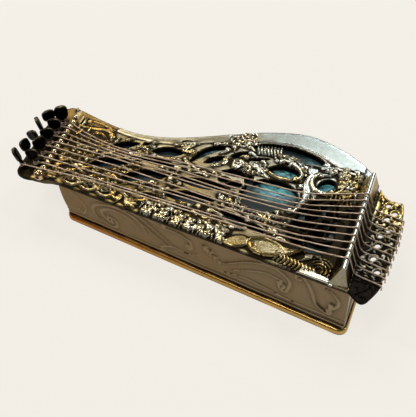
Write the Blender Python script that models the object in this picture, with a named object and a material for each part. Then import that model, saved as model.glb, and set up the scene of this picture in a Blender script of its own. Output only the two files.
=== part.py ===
"""Miniature ornamental zither: a hollow metal box with a pierced top over abalone shell.

Plan coordinates are in millimetres. X runs along the front edge from the front left
corner of the box towards the tail, Y runs from the front edge to the back, Z is up.
Everything is shifted by CENTRE_X and CENTRE_Y so the finished part stands on the origin.
"""
import math

import bmesh
import bpy
from mathutils import Vector

MM = 0.001
CENTRE_X = 42.175         # plan centre of the whole part
CENTRE_Y = 30.135
GAP = 0.1                 # clearance between fixed plates that touch
WIRE_GAP = 0.05           # clearance between a wire and what it rests on

# Sound box
BODY_TOP = 14.9           # top of the side wall
WALL = 1.2                # wall thickness
BASE_THICK = 1.2
RIM_HEIGHT = 2.0
PLATE_LOW = 15.0          # underside of the pierced top plate
PLATE_TOP = 16.0
SHELL_TOP = 13.9          # abalone sheet, sunk below the openings
SHELL_THICK = 1.0
BLOCK_DEPTH = 2.6         # block under the head that holds the tuning pegs
TAIL_LOW = 16.1           # the tail plate lies on the top plate
TAIL_TOP = 17.1

# Back edge of the box, from the tail to the head
BACK_EDGE = [(89.8, 52.0), (86.4, 55.2), (80.3, 58.4), (74.2, 60.8), (66.6, 62.4), (60.7, 61.9),
             (53.6, 59.2), (46.5, 55.4), (40.2, 51.3), (34.0, 46.6), (26.9, 41.8), (20.5, 38.2),
             (13.6, 35.7), (7.4, 34.6), (1.0, 34.8)]

# Strings, nut and bridge
STRING_COUNT = 10
STRING_RADIUS = 0.2
NUT_FRONT = (-6.6, -0.2)
NUT_BACK = (-15.2, 31.6)
NUT_BEADS = 12
BEAD_RADIUS = 1.05
KNOB_RADIUS = 1.45        # larger bead at the front end of the nut
NECK_RADIUS = 0.55
BRIDGE_FRONT = (97.25, 0.6)
BRIDGE_BACK = (91.2, 47.6)
BRIDGE_HALF = 2.8         # half the width of the bridge foot
BRIDGE_HEIGHT = 7.0
BRIDGE_LEAN = 0.5         # the ridge stands a little towards the tail
STRING_AT_BRIDGE = (5.2, 34.0)     # plan Y of the first and the last string on the ridge
# The wires are slack: height at each share of the way from nut to bridge, and how far each
# wire, from the front one to the back one, wanders sideways there
STRING_HEIGHTS = [(0.10, 18.35), (0.25, 18.4), (0.44, 18.6), (0.63, 19.0), (0.82, 20.2),
                  (0.92, 21.5)]
STRING_WANDER = [(1.3, 2.2, 2.4, 2.4, 1.3, 0.5), (0.0, 0.4, 0.5, 0.7, 0.4, 0.2),
                 (0.0, 0.3, 1.2, 0.8, -0.9, -0.4), (-0.2, -0.1, -0.3, -0.6, -1.2, -0.5),
                 (-0.2, 0.1, -0.8, -1.8, -1.5, -0.7), (0.2, 0.3, -0.3, -0.8, -1.3, -0.6),
                 (-0.6, -1.1, -1.6, -2.5, -2.3, -1.1), (-1.6, -2.8, -2.3, -3.4, -3.4, -1.6),
                 (-2.4, -4.4, -3.3, -3.5, -4.2, -2.0), (-3.7, -6.1, -4.4, -3.8, -4.3, -2.0)]

# Tuning pegs, listed from the front: length above the plate, lean, turn of the flat head
PEGS = [(7.6, 28.0, -50.0), (6.4, 21.0, 10.0), (6.8, 26.0, 100.0), (7.0, 17.0, 70.0),
        (6.4, 26.0, 0.0), (6.6, 14.0, 30.0), (7.8, 24.0, -45.0), (6.6, 11.0, 20.0),
        (6.8, 10.0, 60.0), (8.1, 5.0, 45.0)]
PEG_RADIUS = 0.6
PEG_BORE = 0.65
PEG_DEPTH = 3.4           # shank below the top of the plate
PEG_HEAD_HALF = 2.2       # half the width of the flat head
PEG_HEAD_THICK = 0.75     # half its thickness
PEG_ROWS = (7.6, 3.6)     # distance of the outer and the inner row from the nut
COIL_TURNS = 1.5
COIL_PITCH = 0.46

# Openings in the top plate, between two arcs: ends, then the rise of each arc
ARC_OPENINGS = [((4.4, 25.0), (12.2, 31.0), 1.7, -1.7), ((13.9, 31.3), (15.4, 33.2), 0.8, -0.8),
                ((18.6, 29.4), (28.7, 33.4), 2.8, -2.3), ((33.2, 30.2), (42.2, 44.8), 3.9, 0.8),
                ((37.7, 32.3), (41.9, 38.2), 1.3, -1.3), ((43.8, 38.4), (48.6, 44.6), 1.3, -1.3),
                ((49.6, 40.4), (56.4, 44.3), 0.7, -0.7), ((44.9, 30.7), (53.6, 32.0), 2.4, -0.9),
                ((3.5, 13.5), (15.0, 20.2), 2.5, -2.5), ((17.0, 12.4), (30.0, 20.6), 3.2, -3.2),
                ((16.6, 23.8), (30.6, 26.4), 1.5, -1.3), ((34.0, 12.0), (49.6, 16.6), 2.6, -2.6),
                ((33.6, 20.6), (51.6, 23.6), 2.2, -2.0)]
# Openings with a free outline, and the oval ones: centre, half axes, turn
FREE_OPENINGS = [[(48.3, 48.0), (50.9, 51.1), (56.2, 53.6), (62.0, 54.4), (69.7, 53.4),
                  (73.8, 51.0), (73.3, 46.8), (70.4, 46.0), (66.0, 47.3), (62.2, 47.9),
                  (58.0, 49.2), (52.6, 48.6)],
                 [(58.6, 40.8), (61.2, 42.8), (64.4, 43.4), (67.4, 42.6), (70.3, 40.2),
                  (69.6, 38.2), (65.5, 37.6), (61.3, 37.2), (58.4, 38.6)],
                 [(75.8, 14.0), (80.0, 10.5), (86.2, 9.6), (89.6, 14.0), (88.4, 22.0),
                  (86.6, 30.0), (84.4, 34.0), (80.5, 32.6), (76.8, 30.0), (75.6, 23.0)]]
OVAL_OPENINGS = [((63.8, 27.0), 9.3, 7.9, 28.0), ((78.8, 40.2), 3.4, 2.5, 75.0)]
TAIL_HOLES = [(99.6, 39.4), (102.4, 36.6), (101.0, 33.2), (103.2, 28.6), (101.6, 25.2),
              (102.0, 20.6), (102.6, 15.0), (105.2, 10.2)]


def place(x, y, z):
    """World position in metres of a plan point in millimetres."""
    return Vector(((x - CENTRE_X) * MM, (y - CENTRE_Y) * MM, z * MM))


def curve_through(points, steps, closed=False):
    """Smooth curve through the points, with equal numbers of steps between them."""
    count = len(points)
    spans = count if closed else count - 1
    result = []
    for k in range(spans):
        if closed:
            p0, p1, p2, p3 = (points[(k + j - 1) % count] for j in range(4))
        else:
            p0, p1, p2, p3 = (points[min(max(k + j - 1, 0), count - 1)] for j in range(4))
        for s in range(steps):
            t = s / steps
            result.append(tuple(
                0.5 * (2 * b + (c - a) * t + (2 * a - 5 * b + 4 * c - d) * t * t
                       + (3 * b - a - 3 * c + d) * t ** 3)
                for a, b, c, d in zip(p0, p1, p2, p3)))
    if not closed:
        result.append(tuple(points[-1]))
    return result


def straight(start, end, steps):
    """Points from start to end, without the end."""
    return [tuple(a + (b - a) * k / steps for a, b in zip(start, end)) for k in range(steps)]


def grow(outline, distance):
    """Move a counter-clockwise outline outwards by the distance, with mitred corners."""
    count = len(outline)
    result = []
    for k in range(count):
        before, here, after = (Vector(outline[(k + j) % count]) for j in (-1, 0, 1))
        first = (here - before).normalized()
        second = (after - here).normalized()
        normal = Vector((first.y + second.y, -first.x - second.x)).normalized()
        mitre = distance / max(normal.dot(Vector((first.y, -first.x))), 0.5)
        result.append((here.x + normal.x * mitre, here.y + normal.y * mitre))
    return result


def shift_line(points, distance):
    """Move an open line sideways, outwards when the line runs counter-clockwise."""
    result = []
    for k, point in enumerate(points):
        ahead = Vector(points[min(k + 1, len(points) - 1)])
        behind = Vector(points[max(k - 1, 0)])
        run = (ahead - behind).normalized()
        result.append((point[0] + run.y * distance, point[1] - run.x * distance))
    return result


def blend(first, second, share):
    return [tuple(a + (b - a) * share for a, b in zip(p, q)) for p, q in zip(first, second)]


def body_outline(front_left, front_right, back_right, back_left):
    """Outer line of the side wall, counter-clockwise from the front left corner."""
    back = curve_through([back_right] + BACK_EDGE + [back_left], 2)
    return (straight(front_left, front_right, 8) + straight(front_right, back_right, 4)
            + back[:-1] + straight(back_left, front_left, 4))


def arc_opening(start, end, rise, fall, steps=9):
    """Outline between two arcs that share their ends."""
    first, last = Vector(start), Vector(end)
    side = Vector((first.y - last.y, last.x - first.x)).normalized()
    forward = [first.lerp(last, k / steps) + side * rise * math.sin(math.pi * k / steps) ** 0.8
               for k in range(steps)]
    backward = [last.lerp(first, k / steps) + side * fall * math.sin(math.pi * k / steps) ** 0.8
                for k in range(steps)]
    return [tuple(p) for p in forward + backward]


def oval(centre, half_long, half_short, turn, steps=20):
    angle = math.radians(turn)
    result = []
    for k in range(steps):
        a = 2 * math.pi * k / steps
        u, v = half_long * math.cos(a), half_short * math.sin(a)
        result.append((centre[0] + u * math.cos(angle) - v * math.sin(angle),
                       centre[1] + u * math.sin(angle) + v * math.cos(angle)))
    return result


def make_material(name, colour, roughness, metallic):
    material = bpy.data.materials.new(name)
    material.use_nodes = True
    shader = material.node_tree.nodes["Principled BSDF"]
    shader.inputs["Base Color"].default_value = (*colour, 1.0)
    shader.inputs["Roughness"].default_value = roughness
    shader.inputs["Metallic"].default_value = metallic
    material.diffuse_color = (*colour, 1.0)
    return material


def add_object(name, mesh, material, collection, smooth=False):
    mesh.materials.clear()
    mesh.materials.append(material)
    item = bpy.data.objects.new(name, mesh)
    collection.objects.link(item)
    for polygon in mesh.polygons:
        polygon.use_smooth = smooth
    return item


def tidy_mesh(mesh):
    """Join doubled points and turn every face outwards."""
    work = bmesh.new()
    work.from_mesh(mesh)
    bmesh.ops.remove_doubles(work, verts=work.verts, dist=0.000002)
    bmesh.ops.recalc_face_normals(work, faces=work.faces)
    work.to_mesh(mesh)
    work.free()


def curve_mesh(name, data):
    """Mesh made from curve data, with its seams joined."""
    helper = bpy.data.objects.new(name + "_curve", data)
    bpy.context.scene.collection.objects.link(helper)
    bpy.context.view_layer.update()
    graph = bpy.context.evaluated_depsgraph_get()
    mesh = bpy.data.meshes.new_from_object(helper.evaluated_get(graph))
    mesh.name = name
    bpy.data.objects.remove(helper)
    tidy_mesh(mesh)
    return mesh


def plate(name, outlines, low, high, material):
    """Flat plate: the first outline is its edge, the others are openings."""
    data = bpy.data.curves.new(name, "CURVE")
    data.dimensions = "2D"
    data.fill_mode = "BOTH"
    data.extrude = (high - low) * MM / 2
    for outline in outlines:
        spline = data.splines.new("POLY")
        spline.points.add(len(outline) - 1)
        for point, (x, y) in zip(spline.points, outline):
            point.co = ((x - CENTRE_X) * MM, (y - CENTRE_Y) * MM, 0.0, 1.0)
        spline.use_cyclic_u = True
    mesh = curve_mesh(name, data)
    item = add_object(name, mesh, material, parts)
    item.location.z = (low + high) * MM / 2
    return item


def loft(name, rings, material, closed=False, smooth=False):
    """Solid through rings of equal length; closed joins the last ring to the first."""
    mesh = bpy.data.meshes.new(name)
    work = bmesh.new()
    rows = [[work.verts.new(p) for p in ring] for ring in rings]
    count = len(rows[0])
    pairs = list(zip(rows, rows[1:]))
    if closed:
        pairs.append((rows[-1], rows[0]))
    for lower, upper in pairs:
        for k in range(count):
            n = (k + 1) % count
            work.faces.new((lower[k], lower[n], upper[n], upper[k]))
    if not closed:
        work.faces.new(rows[0])
        work.faces.new(rows[-1])
    bmesh.ops.recalc_face_normals(work, faces=work.faces)
    work.to_mesh(mesh)
    work.free()
    return add_object(name, mesh, material, parts, smooth)


def wire(name, points, radius, material, corners=2):
    """Round wire along the points, closed at both ends."""
    data = bpy.data.curves.new(name, "CURVE")
    data.dimensions = "3D"
    data.bevel_depth = radius * MM
    data.bevel_resolution = corners
    data.use_fill_caps = True
    spline = data.splines.new("POLY")
    spline.points.add(len(points) - 1)
    for point, place_at in zip(spline.points, points):
        point.co = (*place_at, 1.0)
    return add_object(name, curve_mesh(name, data), material, parts, True)


def peg_stand(number):
    """Nut neck, foot on the top plate and axis of a peg, counted from the front."""
    neck = Vector(NUT_FRONT) + nut_run * bead_step * (number + 0.5)
    foot = Vector((neck.x - PEG_ROWS[number % 2], neck.y + 0.1))
    tilt = math.radians(PEGS[number][1])
    return neck, foot, Vector((-math.sin(tilt), 0.0, math.cos(tilt)))


def peg_slot(number):
    """Oval hole that lets a leaning shank through the top plate."""
    foot, axis = peg_stand(number)[1:]
    half_shift = (PLATE_TOP - PLATE_LOW) / 2 * axis.x / axis.z
    return oval((foot.x - half_shift, foot.y), PEG_BORE / axis.z - half_shift, PEG_BORE, 0.0, 16)


def cut_bores(target, bores):
    """Drill the peg bores, each given by a point on its axis and the axis."""
    for number, (centre, axis) in enumerate(bores):
        cutter = bpy.data.objects.new(f"bore_cutter_{target.name}_{number:02d}",
                                      bore_cutter_mesh.copy())
        cutters.objects.link(cutter)
        cutter.hide_render = True
        cutter.display_type = "WIRE"
        cutter.location = centre
        cutter.rotation_mode = "QUATERNION"
        cutter.rotation_quaternion = axis.to_track_quat("Z", "Y")
        cut = target.modifiers.new(f"bore_{number:02d}", "BOOLEAN")
        cut.operation = "DIFFERENCE"
        cut.solver = "EXACT"
        cut.object = cutter


for old in list(bpy.data.objects):
    bpy.data.objects.remove(old)
parts = bpy.data.collections.new("miniature_zither")
cutters = bpy.data.collections.new("cutters")
bpy.context.scene.collection.children.link(parts)
bpy.context.scene.collection.children.link(cutters)

silver_gilt = make_material("silver_gilt", (0.60, 0.55, 0.42), 0.32, 1.0)
bronze = make_material("aged_bronze", (0.33, 0.27, 0.20), 0.45, 1.0)
gilt = make_material("gilt_rim", (0.62, 0.40, 0.14), 0.35, 1.0)
dark_metal = make_material("dark_peg_metal", (0.045, 0.040, 0.032), 0.40, 1.0)
copper = make_material("copper_wire", (0.55, 0.38, 0.27), 0.35, 1.0)
abalone = make_material("abalone_shell", (0.22, 0.42, 0.42), 0.25, 0.0)

# Side wall, base plate and gilt rim
top_line = body_outline((-0.9, 0.8), (101.0, 0.5), (96.2, 43.2), (-7.0, 35.6))
waist_line = body_outline((0.6, 1.1), (101.4, -0.9), (96.7, 43.4), (-5.2, 35.2))
foot_line = body_outline((1.6, 1.6), (101.5, -2.1), (97.0, 43.5), (-5.4, 35.3))
levels = [(foot_line, 0.0), (foot_line, RIM_HEIGHT + 0.2), (waist_line, 6.0),
          (blend(waist_line, top_line, 0.55), 9.0), (blend(waist_line, top_line, 0.88), 12.0),
          (top_line, BODY_TOP)]
outer = [[place(x, y, z) for x, y in line] for line, z in levels]
inner = [[place(x, y, z) for x, y in grow(line, -WALL)] for line, z in reversed(levels)]
loft("body_shell", outer + inner, bronze, closed=True)

plate("base_plate", [grow(foot_line, -WALL - GAP)], 0.0, BASE_THICK, bronze)
rim_profile = [(GAP, 0.0), (0.95, 0.0), (1.1, 0.4), (1.1, 1.0), (0.8, 1.6), (0.4, RIM_HEIGHT),
               (GAP, RIM_HEIGHT)]
loft("base_rim", [[place(x, y, z) for x, y in grow(foot_line, out)] for out, z in rim_profile],
     gilt, closed=True)

# Line of the nut across the head; the strings pass between its beads
nut_axis = Vector(NUT_BACK) - Vector(NUT_FRONT)
bead_step = nut_axis.length / (NUT_BEADS - 1)
nut_run = nut_axis.normalized()

# Pierced top plate over the abalone sheet
head_left = curve_through([(-22.6, 37.6), (-24.1, 33.0), (-23.3, 24.0), (-20.0, 12.0),
                           (-17.2, 2.0), (-15.8, -1.2), (-13.4, -2.6), (-10.2, -2.6),
                           (-6.2, -1.0), (-4.4, 0.4), (-2.2, 0.6)], 2)
plate_back = curve_through([(97.3, 42.9), (95.1, 45.3), (93.1, 47.9)] + shift_line(BACK_EDGE, 0.9)
                           + [(-8.6, 36.9), (-19.0, 38.6)], 2)
top_outline = straight((0.0, 0.0), (101.1, 0.0), 6) + [(101.1, 0.0)] + plate_back + head_left
openings = ([arc_opening(*shape) for shape in ARC_OPENINGS]
            + [curve_through(shape, 2, closed=True) for shape in FREE_OPENINGS]
            + [oval(*shape) for shape in OVAL_OPENINGS]
            + [peg_slot(number) for number in range(STRING_COUNT)])
plate("top_plate", [top_outline] + openings, PLATE_LOW, PLATE_TOP, silver_gilt)
plate("shell_plaque", [grow(blend(waist_line, top_line, 0.9), -WALL - GAP)],
      SHELL_TOP - SHELL_THICK, SHELL_TOP, abalone)
block_outline = [(-2.2, 2.2), (-8.1, 35.4), (-21.6, 36.4), (-23.2, 33.0), (-22.4, 24.0),
                 (-19.1, 12.0), (-16.3, 2.4), (-15.6, 0.7), (-13.8, 0.2), (-10.0, 0.3),
                 (-6.5, 0.9), (-4.2, 1.9)]
head_block = plate("head_block", [block_outline], PLATE_LOW - GAP - BLOCK_DEPTH,
                   PLATE_LOW - GAP, bronze)

# Tail plate that holds the string ends
tail_edge = curve_through([(101.3, -1.3), (104.0, -2.9), (105.6, -2.5), (106.6, -0.2),
                           (107.8, 5.0), (107.8, 12.9), (107.4, 18.4), (107.2, 24.1),
                           (105.9, 33.1), (104.6, 39.4), (103.4, 42.4), (100.9, 41.9),
                           (97.6, 43.3), (94.9, 46.4)], 2)
tail_outline = [(100.4, -0.6)] + tail_edge
plate("tail_plate", [tail_outline] + [oval(c, 1.2, 0.8, 70.0, 12) for c in TAIL_HOLES],
      TAIL_LOW, TAIL_TOP, silver_gilt)

# Bridge: a long ridge of three-sided section
bridge_run = (Vector(BRIDGE_BACK) - Vector(BRIDGE_FRONT)).normalized()
bridge_side = Vector((bridge_run.y, -bridge_run.x))
bridge_low = PLATE_TOP + GAP
bridge_profile = [(-BRIDGE_HALF, 0.0), (BRIDGE_HALF, 0.0), (BRIDGE_HALF, 0.8),
                  (BRIDGE_LEAN + 0.62, BRIDGE_HEIGHT - 0.75),
                  (BRIDGE_LEAN + 0.42, BRIDGE_HEIGHT - 0.25), (BRIDGE_LEAN, BRIDGE_HEIGHT),
                  (BRIDGE_LEAN - 0.42, BRIDGE_HEIGHT - 0.25),
                  (BRIDGE_LEAN - 0.62, BRIDGE_HEIGHT - 0.75), (-BRIDGE_HALF, 0.8)]
bridge_rings = []
for end in (BRIDGE_FRONT, BRIDGE_BACK):
    ring = []
    for across, up in bridge_profile:
        inset = 0.06 * up if end == BRIDGE_FRONT else -0.35 * up
        at = Vector(end) + bridge_side * across + bridge_run * inset
        ring.append(place(at.x, at.y, bridge_low + up))
    bridge_rings.append(ring)
loft("bridge", bridge_rings, silver_gilt)

# Nut: a turned rod of beads lying across the head, raised by the knob at its front end
nut_height = PLATE_TOP + GAP + KNOB_RADIUS
nut_profile = []
for bead in range(NUT_BEADS):
    radius = KNOB_RADIUS if bead == 0 else BEAD_RADIUS
    for angle in (-60, -20, 20, 60):
        along = bead * bead_step + radius * math.sin(math.radians(angle))
        nut_profile.append((along, radius * math.cos(math.radians(angle))))
    if bead < NUT_BEADS - 1:
        nut_profile.append(((bead + 0.5) * bead_step, NECK_RADIUS))
nut_rings = []
for along, radius in nut_profile:
    centre = Vector(NUT_FRONT) + nut_run * along
    ring = []
    for k in range(12):
        a = 2 * math.pi * k / 12
        across = radius * math.cos(a)
        ring.append(place(centre.x + nut_run.y * across, centre.y - nut_run.x * across,
                          nut_height + radius * math.sin(a)))
    nut_rings.append(ring)
loft("nut_rail", nut_rings, silver_gilt, smooth=True)

# Pegs, windings and strings
bore_cutter_mesh = bpy.data.meshes.new("bore_cutter")
bore_work = bmesh.new()
bmesh.ops.create_cone(bore_work, cap_ends=True, segments=20, radius1=PEG_BORE * MM,
                      radius2=PEG_BORE * MM, depth=14 * MM)
bore_work.to_mesh(bore_cutter_mesh)
bore_work.free()

bores = []
for number, (length, _, turn) in enumerate(PEGS):
    neck, foot, axis = peg_stand(number)
    base = place(foot.x, foot.y, PLATE_TOP)
    bores.append((base, axis))

    # peg: round shank, thin waist and flat head, lofted along its own axis
    sections = [(-PEG_DEPTH, 0.45, 0.45), (-PEG_DEPTH + 0.15, PEG_RADIUS, PEG_RADIUS),
                (2.4, PEG_RADIUS, PEG_RADIUS), (2.55, 0.85, 0.8), (2.75, 0.8, 0.6)]
    for share, width in ((0.06, 0.66), (0.25, 0.94), (0.6, 1.0), (0.85, 0.92), (0.96, 0.62)):
        sections.append((2.8 + (length - 2.8) * share, PEG_HEAD_HALF * width, PEG_HEAD_THICK))
    sections.append((length, PEG_HEAD_HALF * 0.3, PEG_HEAD_THICK * 0.6))
    rings = []
    for up, half_wide, half_thick in sections:
        rings.append([Vector((half_wide * MM * math.cos(2 * math.pi * k / 14),
                              half_thick * MM * math.sin(2 * math.pi * k / 14), up * MM))
                      for k in range(14)])
    peg = loft(f"peg_{number + 1:02d}", rings, dark_metal, smooth=True)
    peg.location = base
    peg.rotation_mode = "QUATERNION"
    peg.rotation_quaternion = axis.to_track_quat("Z", "X")
    peg.rotation_quaternion = (peg.rotation_quaternion
                               @ Vector((1.0, 0.0, 0.0)).rotation_difference(
                                   Vector((math.cos(math.radians(turn)),
                                           math.sin(math.radians(turn)), 0.0))))

    # winding on the shank, which rides with the peg; the string touches the shank above it,
    # clear of the path that the winding takes when the peg turns
    coil_radius = PEG_RADIUS + STRING_RADIUS + WIRE_GAP
    coil_low = STRING_RADIUS + WIRE_GAP - (coil_radius + STRING_RADIUS) * axis.x
    leave_up = coil_low + COIL_TURNS * COIL_PITCH + 2 * STRING_RADIUS + WIRE_GAP - 0.65 * axis.x
    neck_top = place(neck.x, neck.y, nut_height + NECK_RADIUS + STRING_RADIUS + WIRE_GAP)
    leave_at = base + axis * leave_up * MM
    onward = neck_top - leave_at
    onward = (onward - axis * onward.dot(axis)).normalized()
    side = onward.cross(axis).normalized()
    coil_steps = int(COIL_TURNS * 12)
    coil_points = []
    for k in range(coil_steps + 1):
        a = 2 * math.pi * COIL_TURNS * (k / coil_steps - 1)
        up = coil_low + COIL_PITCH * COIL_TURNS * k / coil_steps
        coil_points.append(base + axis * up * MM
                           + (side * math.cos(a) + onward * math.sin(a)) * coil_radius * MM)
    wire(f"string_coil_{number + 1:02d}", coil_points, STRING_RADIUS, copper, 1)

    # the string: winding, nut, bridge ridge, tail plate and the hook over its edge
    share = number / (STRING_COUNT - 1)
    ridge_y = STRING_AT_BRIDGE[0] + (STRING_AT_BRIDGE[1] - STRING_AT_BRIDGE[0]) * share
    along = (ridge_y - BRIDGE_FRONT[1]) / bridge_run.y
    ridge = Vector(BRIDGE_FRONT) + bridge_run * along
    clear = STRING_RADIUS + WIRE_GAP
    points = [leave_at + side * coil_radius * MM, neck_top]
    for (part_way, height), wander in zip(STRING_HEIGHTS, STRING_WANDER[number]):
        points.append(place(neck.x + (ridge.x - neck.x) * part_way,
                            neck.y + (ridge.y - neck.y) * part_way + wander, height))
    crossing = [(BRIDGE_LEAN - 1.0, BRIDGE_HEIGHT - 0.1), (BRIDGE_LEAN - 0.35, BRIDGE_HEIGHT + 0.2),
                (BRIDGE_LEAN + 0.1, BRIDGE_HEIGHT + clear + 0.05),
                (BRIDGE_LEAN + 0.75, BRIDGE_HEIGHT - 0.05),
                (BRIDGE_LEAN + 1.05, BRIDGE_HEIGHT - 0.8),
                (BRIDGE_HALF + 0.35, TAIL_TOP - bridge_low + clear + 0.25)]
    for across, up in crossing:
        at = ridge + bridge_side * across
        points.append(place(at.x, at.y, bridge_low + up))
    edge_x = max(a[0] + (b[0] - a[0]) * (ridge.y - a[1]) / (b[1] - a[1])
                 for a, b in zip(tail_edge, tail_edge[1:])
                 if min(a[1], b[1]) <= ridge.y <= max(a[1], b[1]) and a[1] != b[1])
    for x, z in ((edge_x - 0.3, TAIL_TOP + clear), (edge_x + clear + 0.05, TAIL_TOP + 0.05),
                 (edge_x + clear + 0.15, TAIL_TOP - 1.5)):
        points.append(place(x, ridge.y, z))
    wire(f"string_{number + 1:02d}", points, STRING_RADIUS, copper)

cut_bores(head_block, bores)
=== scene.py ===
"""Looks of the miniature ornamental zither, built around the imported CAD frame.

Plan coordinates are in millimetres: X along the front edge from the front left corner of
the box to the tail, Y from the front edge to the back, Z up. Positions come from the CAD
boxes: world() turns plan millimetres into the frame's metres.
"""
import math
import random

import bpy
import numpy as np
from mathutils import Matrix, Vector
from mathutils.geometry import tessellate_polygon

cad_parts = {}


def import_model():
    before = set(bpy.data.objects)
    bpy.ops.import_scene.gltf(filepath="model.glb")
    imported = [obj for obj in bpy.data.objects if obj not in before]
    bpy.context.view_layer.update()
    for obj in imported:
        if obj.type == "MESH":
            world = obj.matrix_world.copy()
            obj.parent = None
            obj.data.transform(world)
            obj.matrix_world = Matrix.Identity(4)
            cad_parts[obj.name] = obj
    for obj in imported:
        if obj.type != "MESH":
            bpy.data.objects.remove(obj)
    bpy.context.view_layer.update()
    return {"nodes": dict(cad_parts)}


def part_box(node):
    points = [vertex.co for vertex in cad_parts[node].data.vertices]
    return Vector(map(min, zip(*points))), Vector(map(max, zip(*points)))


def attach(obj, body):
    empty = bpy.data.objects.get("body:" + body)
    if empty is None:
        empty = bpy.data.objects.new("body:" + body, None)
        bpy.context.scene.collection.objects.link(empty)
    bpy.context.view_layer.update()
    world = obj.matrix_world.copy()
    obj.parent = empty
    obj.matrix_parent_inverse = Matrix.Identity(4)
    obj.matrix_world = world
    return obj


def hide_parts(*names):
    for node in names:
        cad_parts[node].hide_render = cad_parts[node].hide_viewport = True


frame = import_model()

MM = 0.001
shell_low, shell_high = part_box("body_shell")
# The front right corner of the wall's foot is the shell's limit in both X and Y
FOOT_CORNER = (101.5, -2.1)
ORIGIN = np.array([shell_high.x - FOOT_CORNER[0] * MM, shell_low.y - FOOT_CORNER[1] * MM, 0.0])

# Levels and sizes that the CAD fixes, in millimetres
WALL_TOP = shell_high.z / MM
WALL_THICK = 1.2
WALL_SPRING, WAIST = 2.2, 6.0    # the wall leans out between these heights and flares above
PLATE_LOW, PLATE_TOP = (corner.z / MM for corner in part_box("top_plate"))
TAIL_LOW, TAIL_TOP = (corner.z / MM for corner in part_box("tail_plate"))
SHELL_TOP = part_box("shell_plaque")[1].z / MM
STRING_RADIUS = 0.2
WIRE_GAP = 0.05
WIRE_CLEAR = STRING_RADIUS + WIRE_GAP

BACK_EDGE = [(89.8, 52.0), (86.4, 55.2), (80.3, 58.4), (74.2, 60.8), (66.6, 62.4), (60.7, 61.9),
             (53.6, 59.2), (46.5, 55.4), (40.2, 51.3), (34.0, 46.6), (26.9, 41.8), (20.5, 38.2),
             (13.6, 35.7), (7.4, 34.6), (1.0, 34.8)]
# The plain band along the back: its inner line
BAND_INNER = [(91.2, 51.0), (87.0, 52.0), (83.0, 51.0), (79.5, 50.6), (74.5, 52.6), (69.5, 54.2),
              (63.0, 55.2), (57.0, 54.4), (50.5, 52.0), (44.5, 48.8), (38.5, 45.4), (33.0, 41.9),
              (27.0, 37.6), (20.5, 34.9), (13.0, 33.0), (6.0, 32.6), (1.0, 33.0)]
# Openings of the top plate: between two arcs (ends, rise, fall), free outlines and ovals
# (centre, half axes, turn)
ARC_OPENINGS = [((4.4, 25.0), (12.2, 31.0), 1.7, -1.7), ((13.9, 31.3), (15.4, 33.2), 0.8, -0.8),
                ((18.6, 29.4), (28.7, 33.4), 2.8, -2.3), ((33.2, 30.2), (42.2, 44.8), 3.9, 0.8),
                ((37.7, 32.3), (41.9, 38.2), 1.3, -1.3), ((43.8, 38.4), (48.6, 44.6), 1.3, -1.3),
                ((49.6, 40.4), (56.4, 44.3), 0.7, -0.7), ((44.9, 30.7), (53.6, 32.0), 2.4, -0.9),
                ((3.5, 13.5), (15.0, 20.2), 2.5, -2.5), ((17.0, 12.4), (30.0, 20.6), 3.2, -3.2),
                ((16.6, 23.8), (30.6, 26.4), 1.5, -1.3), ((34.0, 12.0), (49.6, 16.6), 2.6, -2.6),
                ((33.6, 20.6), (51.6, 23.6), 2.2, -2.0)]
FREE_OPENINGS = [[(48.3, 48.0), (50.9, 51.1), (56.2, 53.6), (62.0, 54.4), (69.7, 53.4),
                  (73.8, 51.0), (73.3, 46.8), (70.4, 46.0), (66.0, 47.3), (62.2, 47.9),
                  (58.0, 49.2), (52.6, 48.6)],
                 [(58.6, 40.8), (61.2, 42.8), (64.4, 43.4), (67.4, 42.6), (70.3, 40.2),
                  (69.6, 38.2), (65.5, 37.6), (61.3, 37.2), (58.4, 38.6)],
                 [(75.8, 14.0), (80.0, 10.5), (86.2, 9.6), (89.6, 14.0), (88.4, 22.0),
                  (86.6, 30.0), (84.4, 34.0), (80.5, 32.6), (76.8, 30.0), (75.6, 23.0)]]
OVAL_OPENINGS = [((63.8, 27.0), 9.3, 7.9, 28.0), ((78.8, 40.2), 3.4, 2.5, 75.0)]
# Small gaps of the casting that the CAD plate leaves solid: centre, half axes, turn
SMALL_GAPS = [((51.6, 26.6), 2.6, 1.7, 30.0), ((47.6, 27.4), 1.9, 1.3, 10.0),
              ((58.6, 12.0), 4.8, 1.7, -14.0), ((66.6, 11.0), 3.0, 1.3, -10.0),
              ((55.0, 31.0), 1.3, 2.4, 20.0), ((20.0, 7.4), 2.6, 1.0, 10.0),
              ((30.2, 8.6), 3.0, 1.1, 6.0), ((42.0, 8.4), 3.4, 1.1, 4.0)]
HEAD_EDGE = [(-8.6, 36.9), (-19.0, 38.6), (-22.6, 37.6), (-24.1, 33.0), (-23.3, 24.0),
             (-20.0, 12.0), (-17.2, 2.0), (-15.8, -1.2), (-13.4, -2.6), (-10.2, -2.6),
             (-6.2, -1.0), (-4.4, 0.4), (-2.2, 0.6)]
BACK_CORNER = [(97.3, 42.9), (95.1, 45.3), (93.1, 47.9)]
TAIL_EDGE = [(101.3, -1.3), (104.0, -2.9), (105.6, -2.5), (106.6, -0.2), (107.8, 5.0),
             (107.8, 12.9), (107.4, 18.4), (107.2, 24.1), (105.9, 33.1), (104.6, 39.4),
             (103.4, 42.4), (100.9, 41.9), (97.6, 43.3), (94.9, 46.4)]
TAIL_HOLES = [(99.6, 39.4), (102.4, 36.6), (101.0, 33.2), (103.2, 28.6), (101.6, 25.2),
              (102.0, 20.6), (102.6, 15.0), (105.2, 10.2)]

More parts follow.
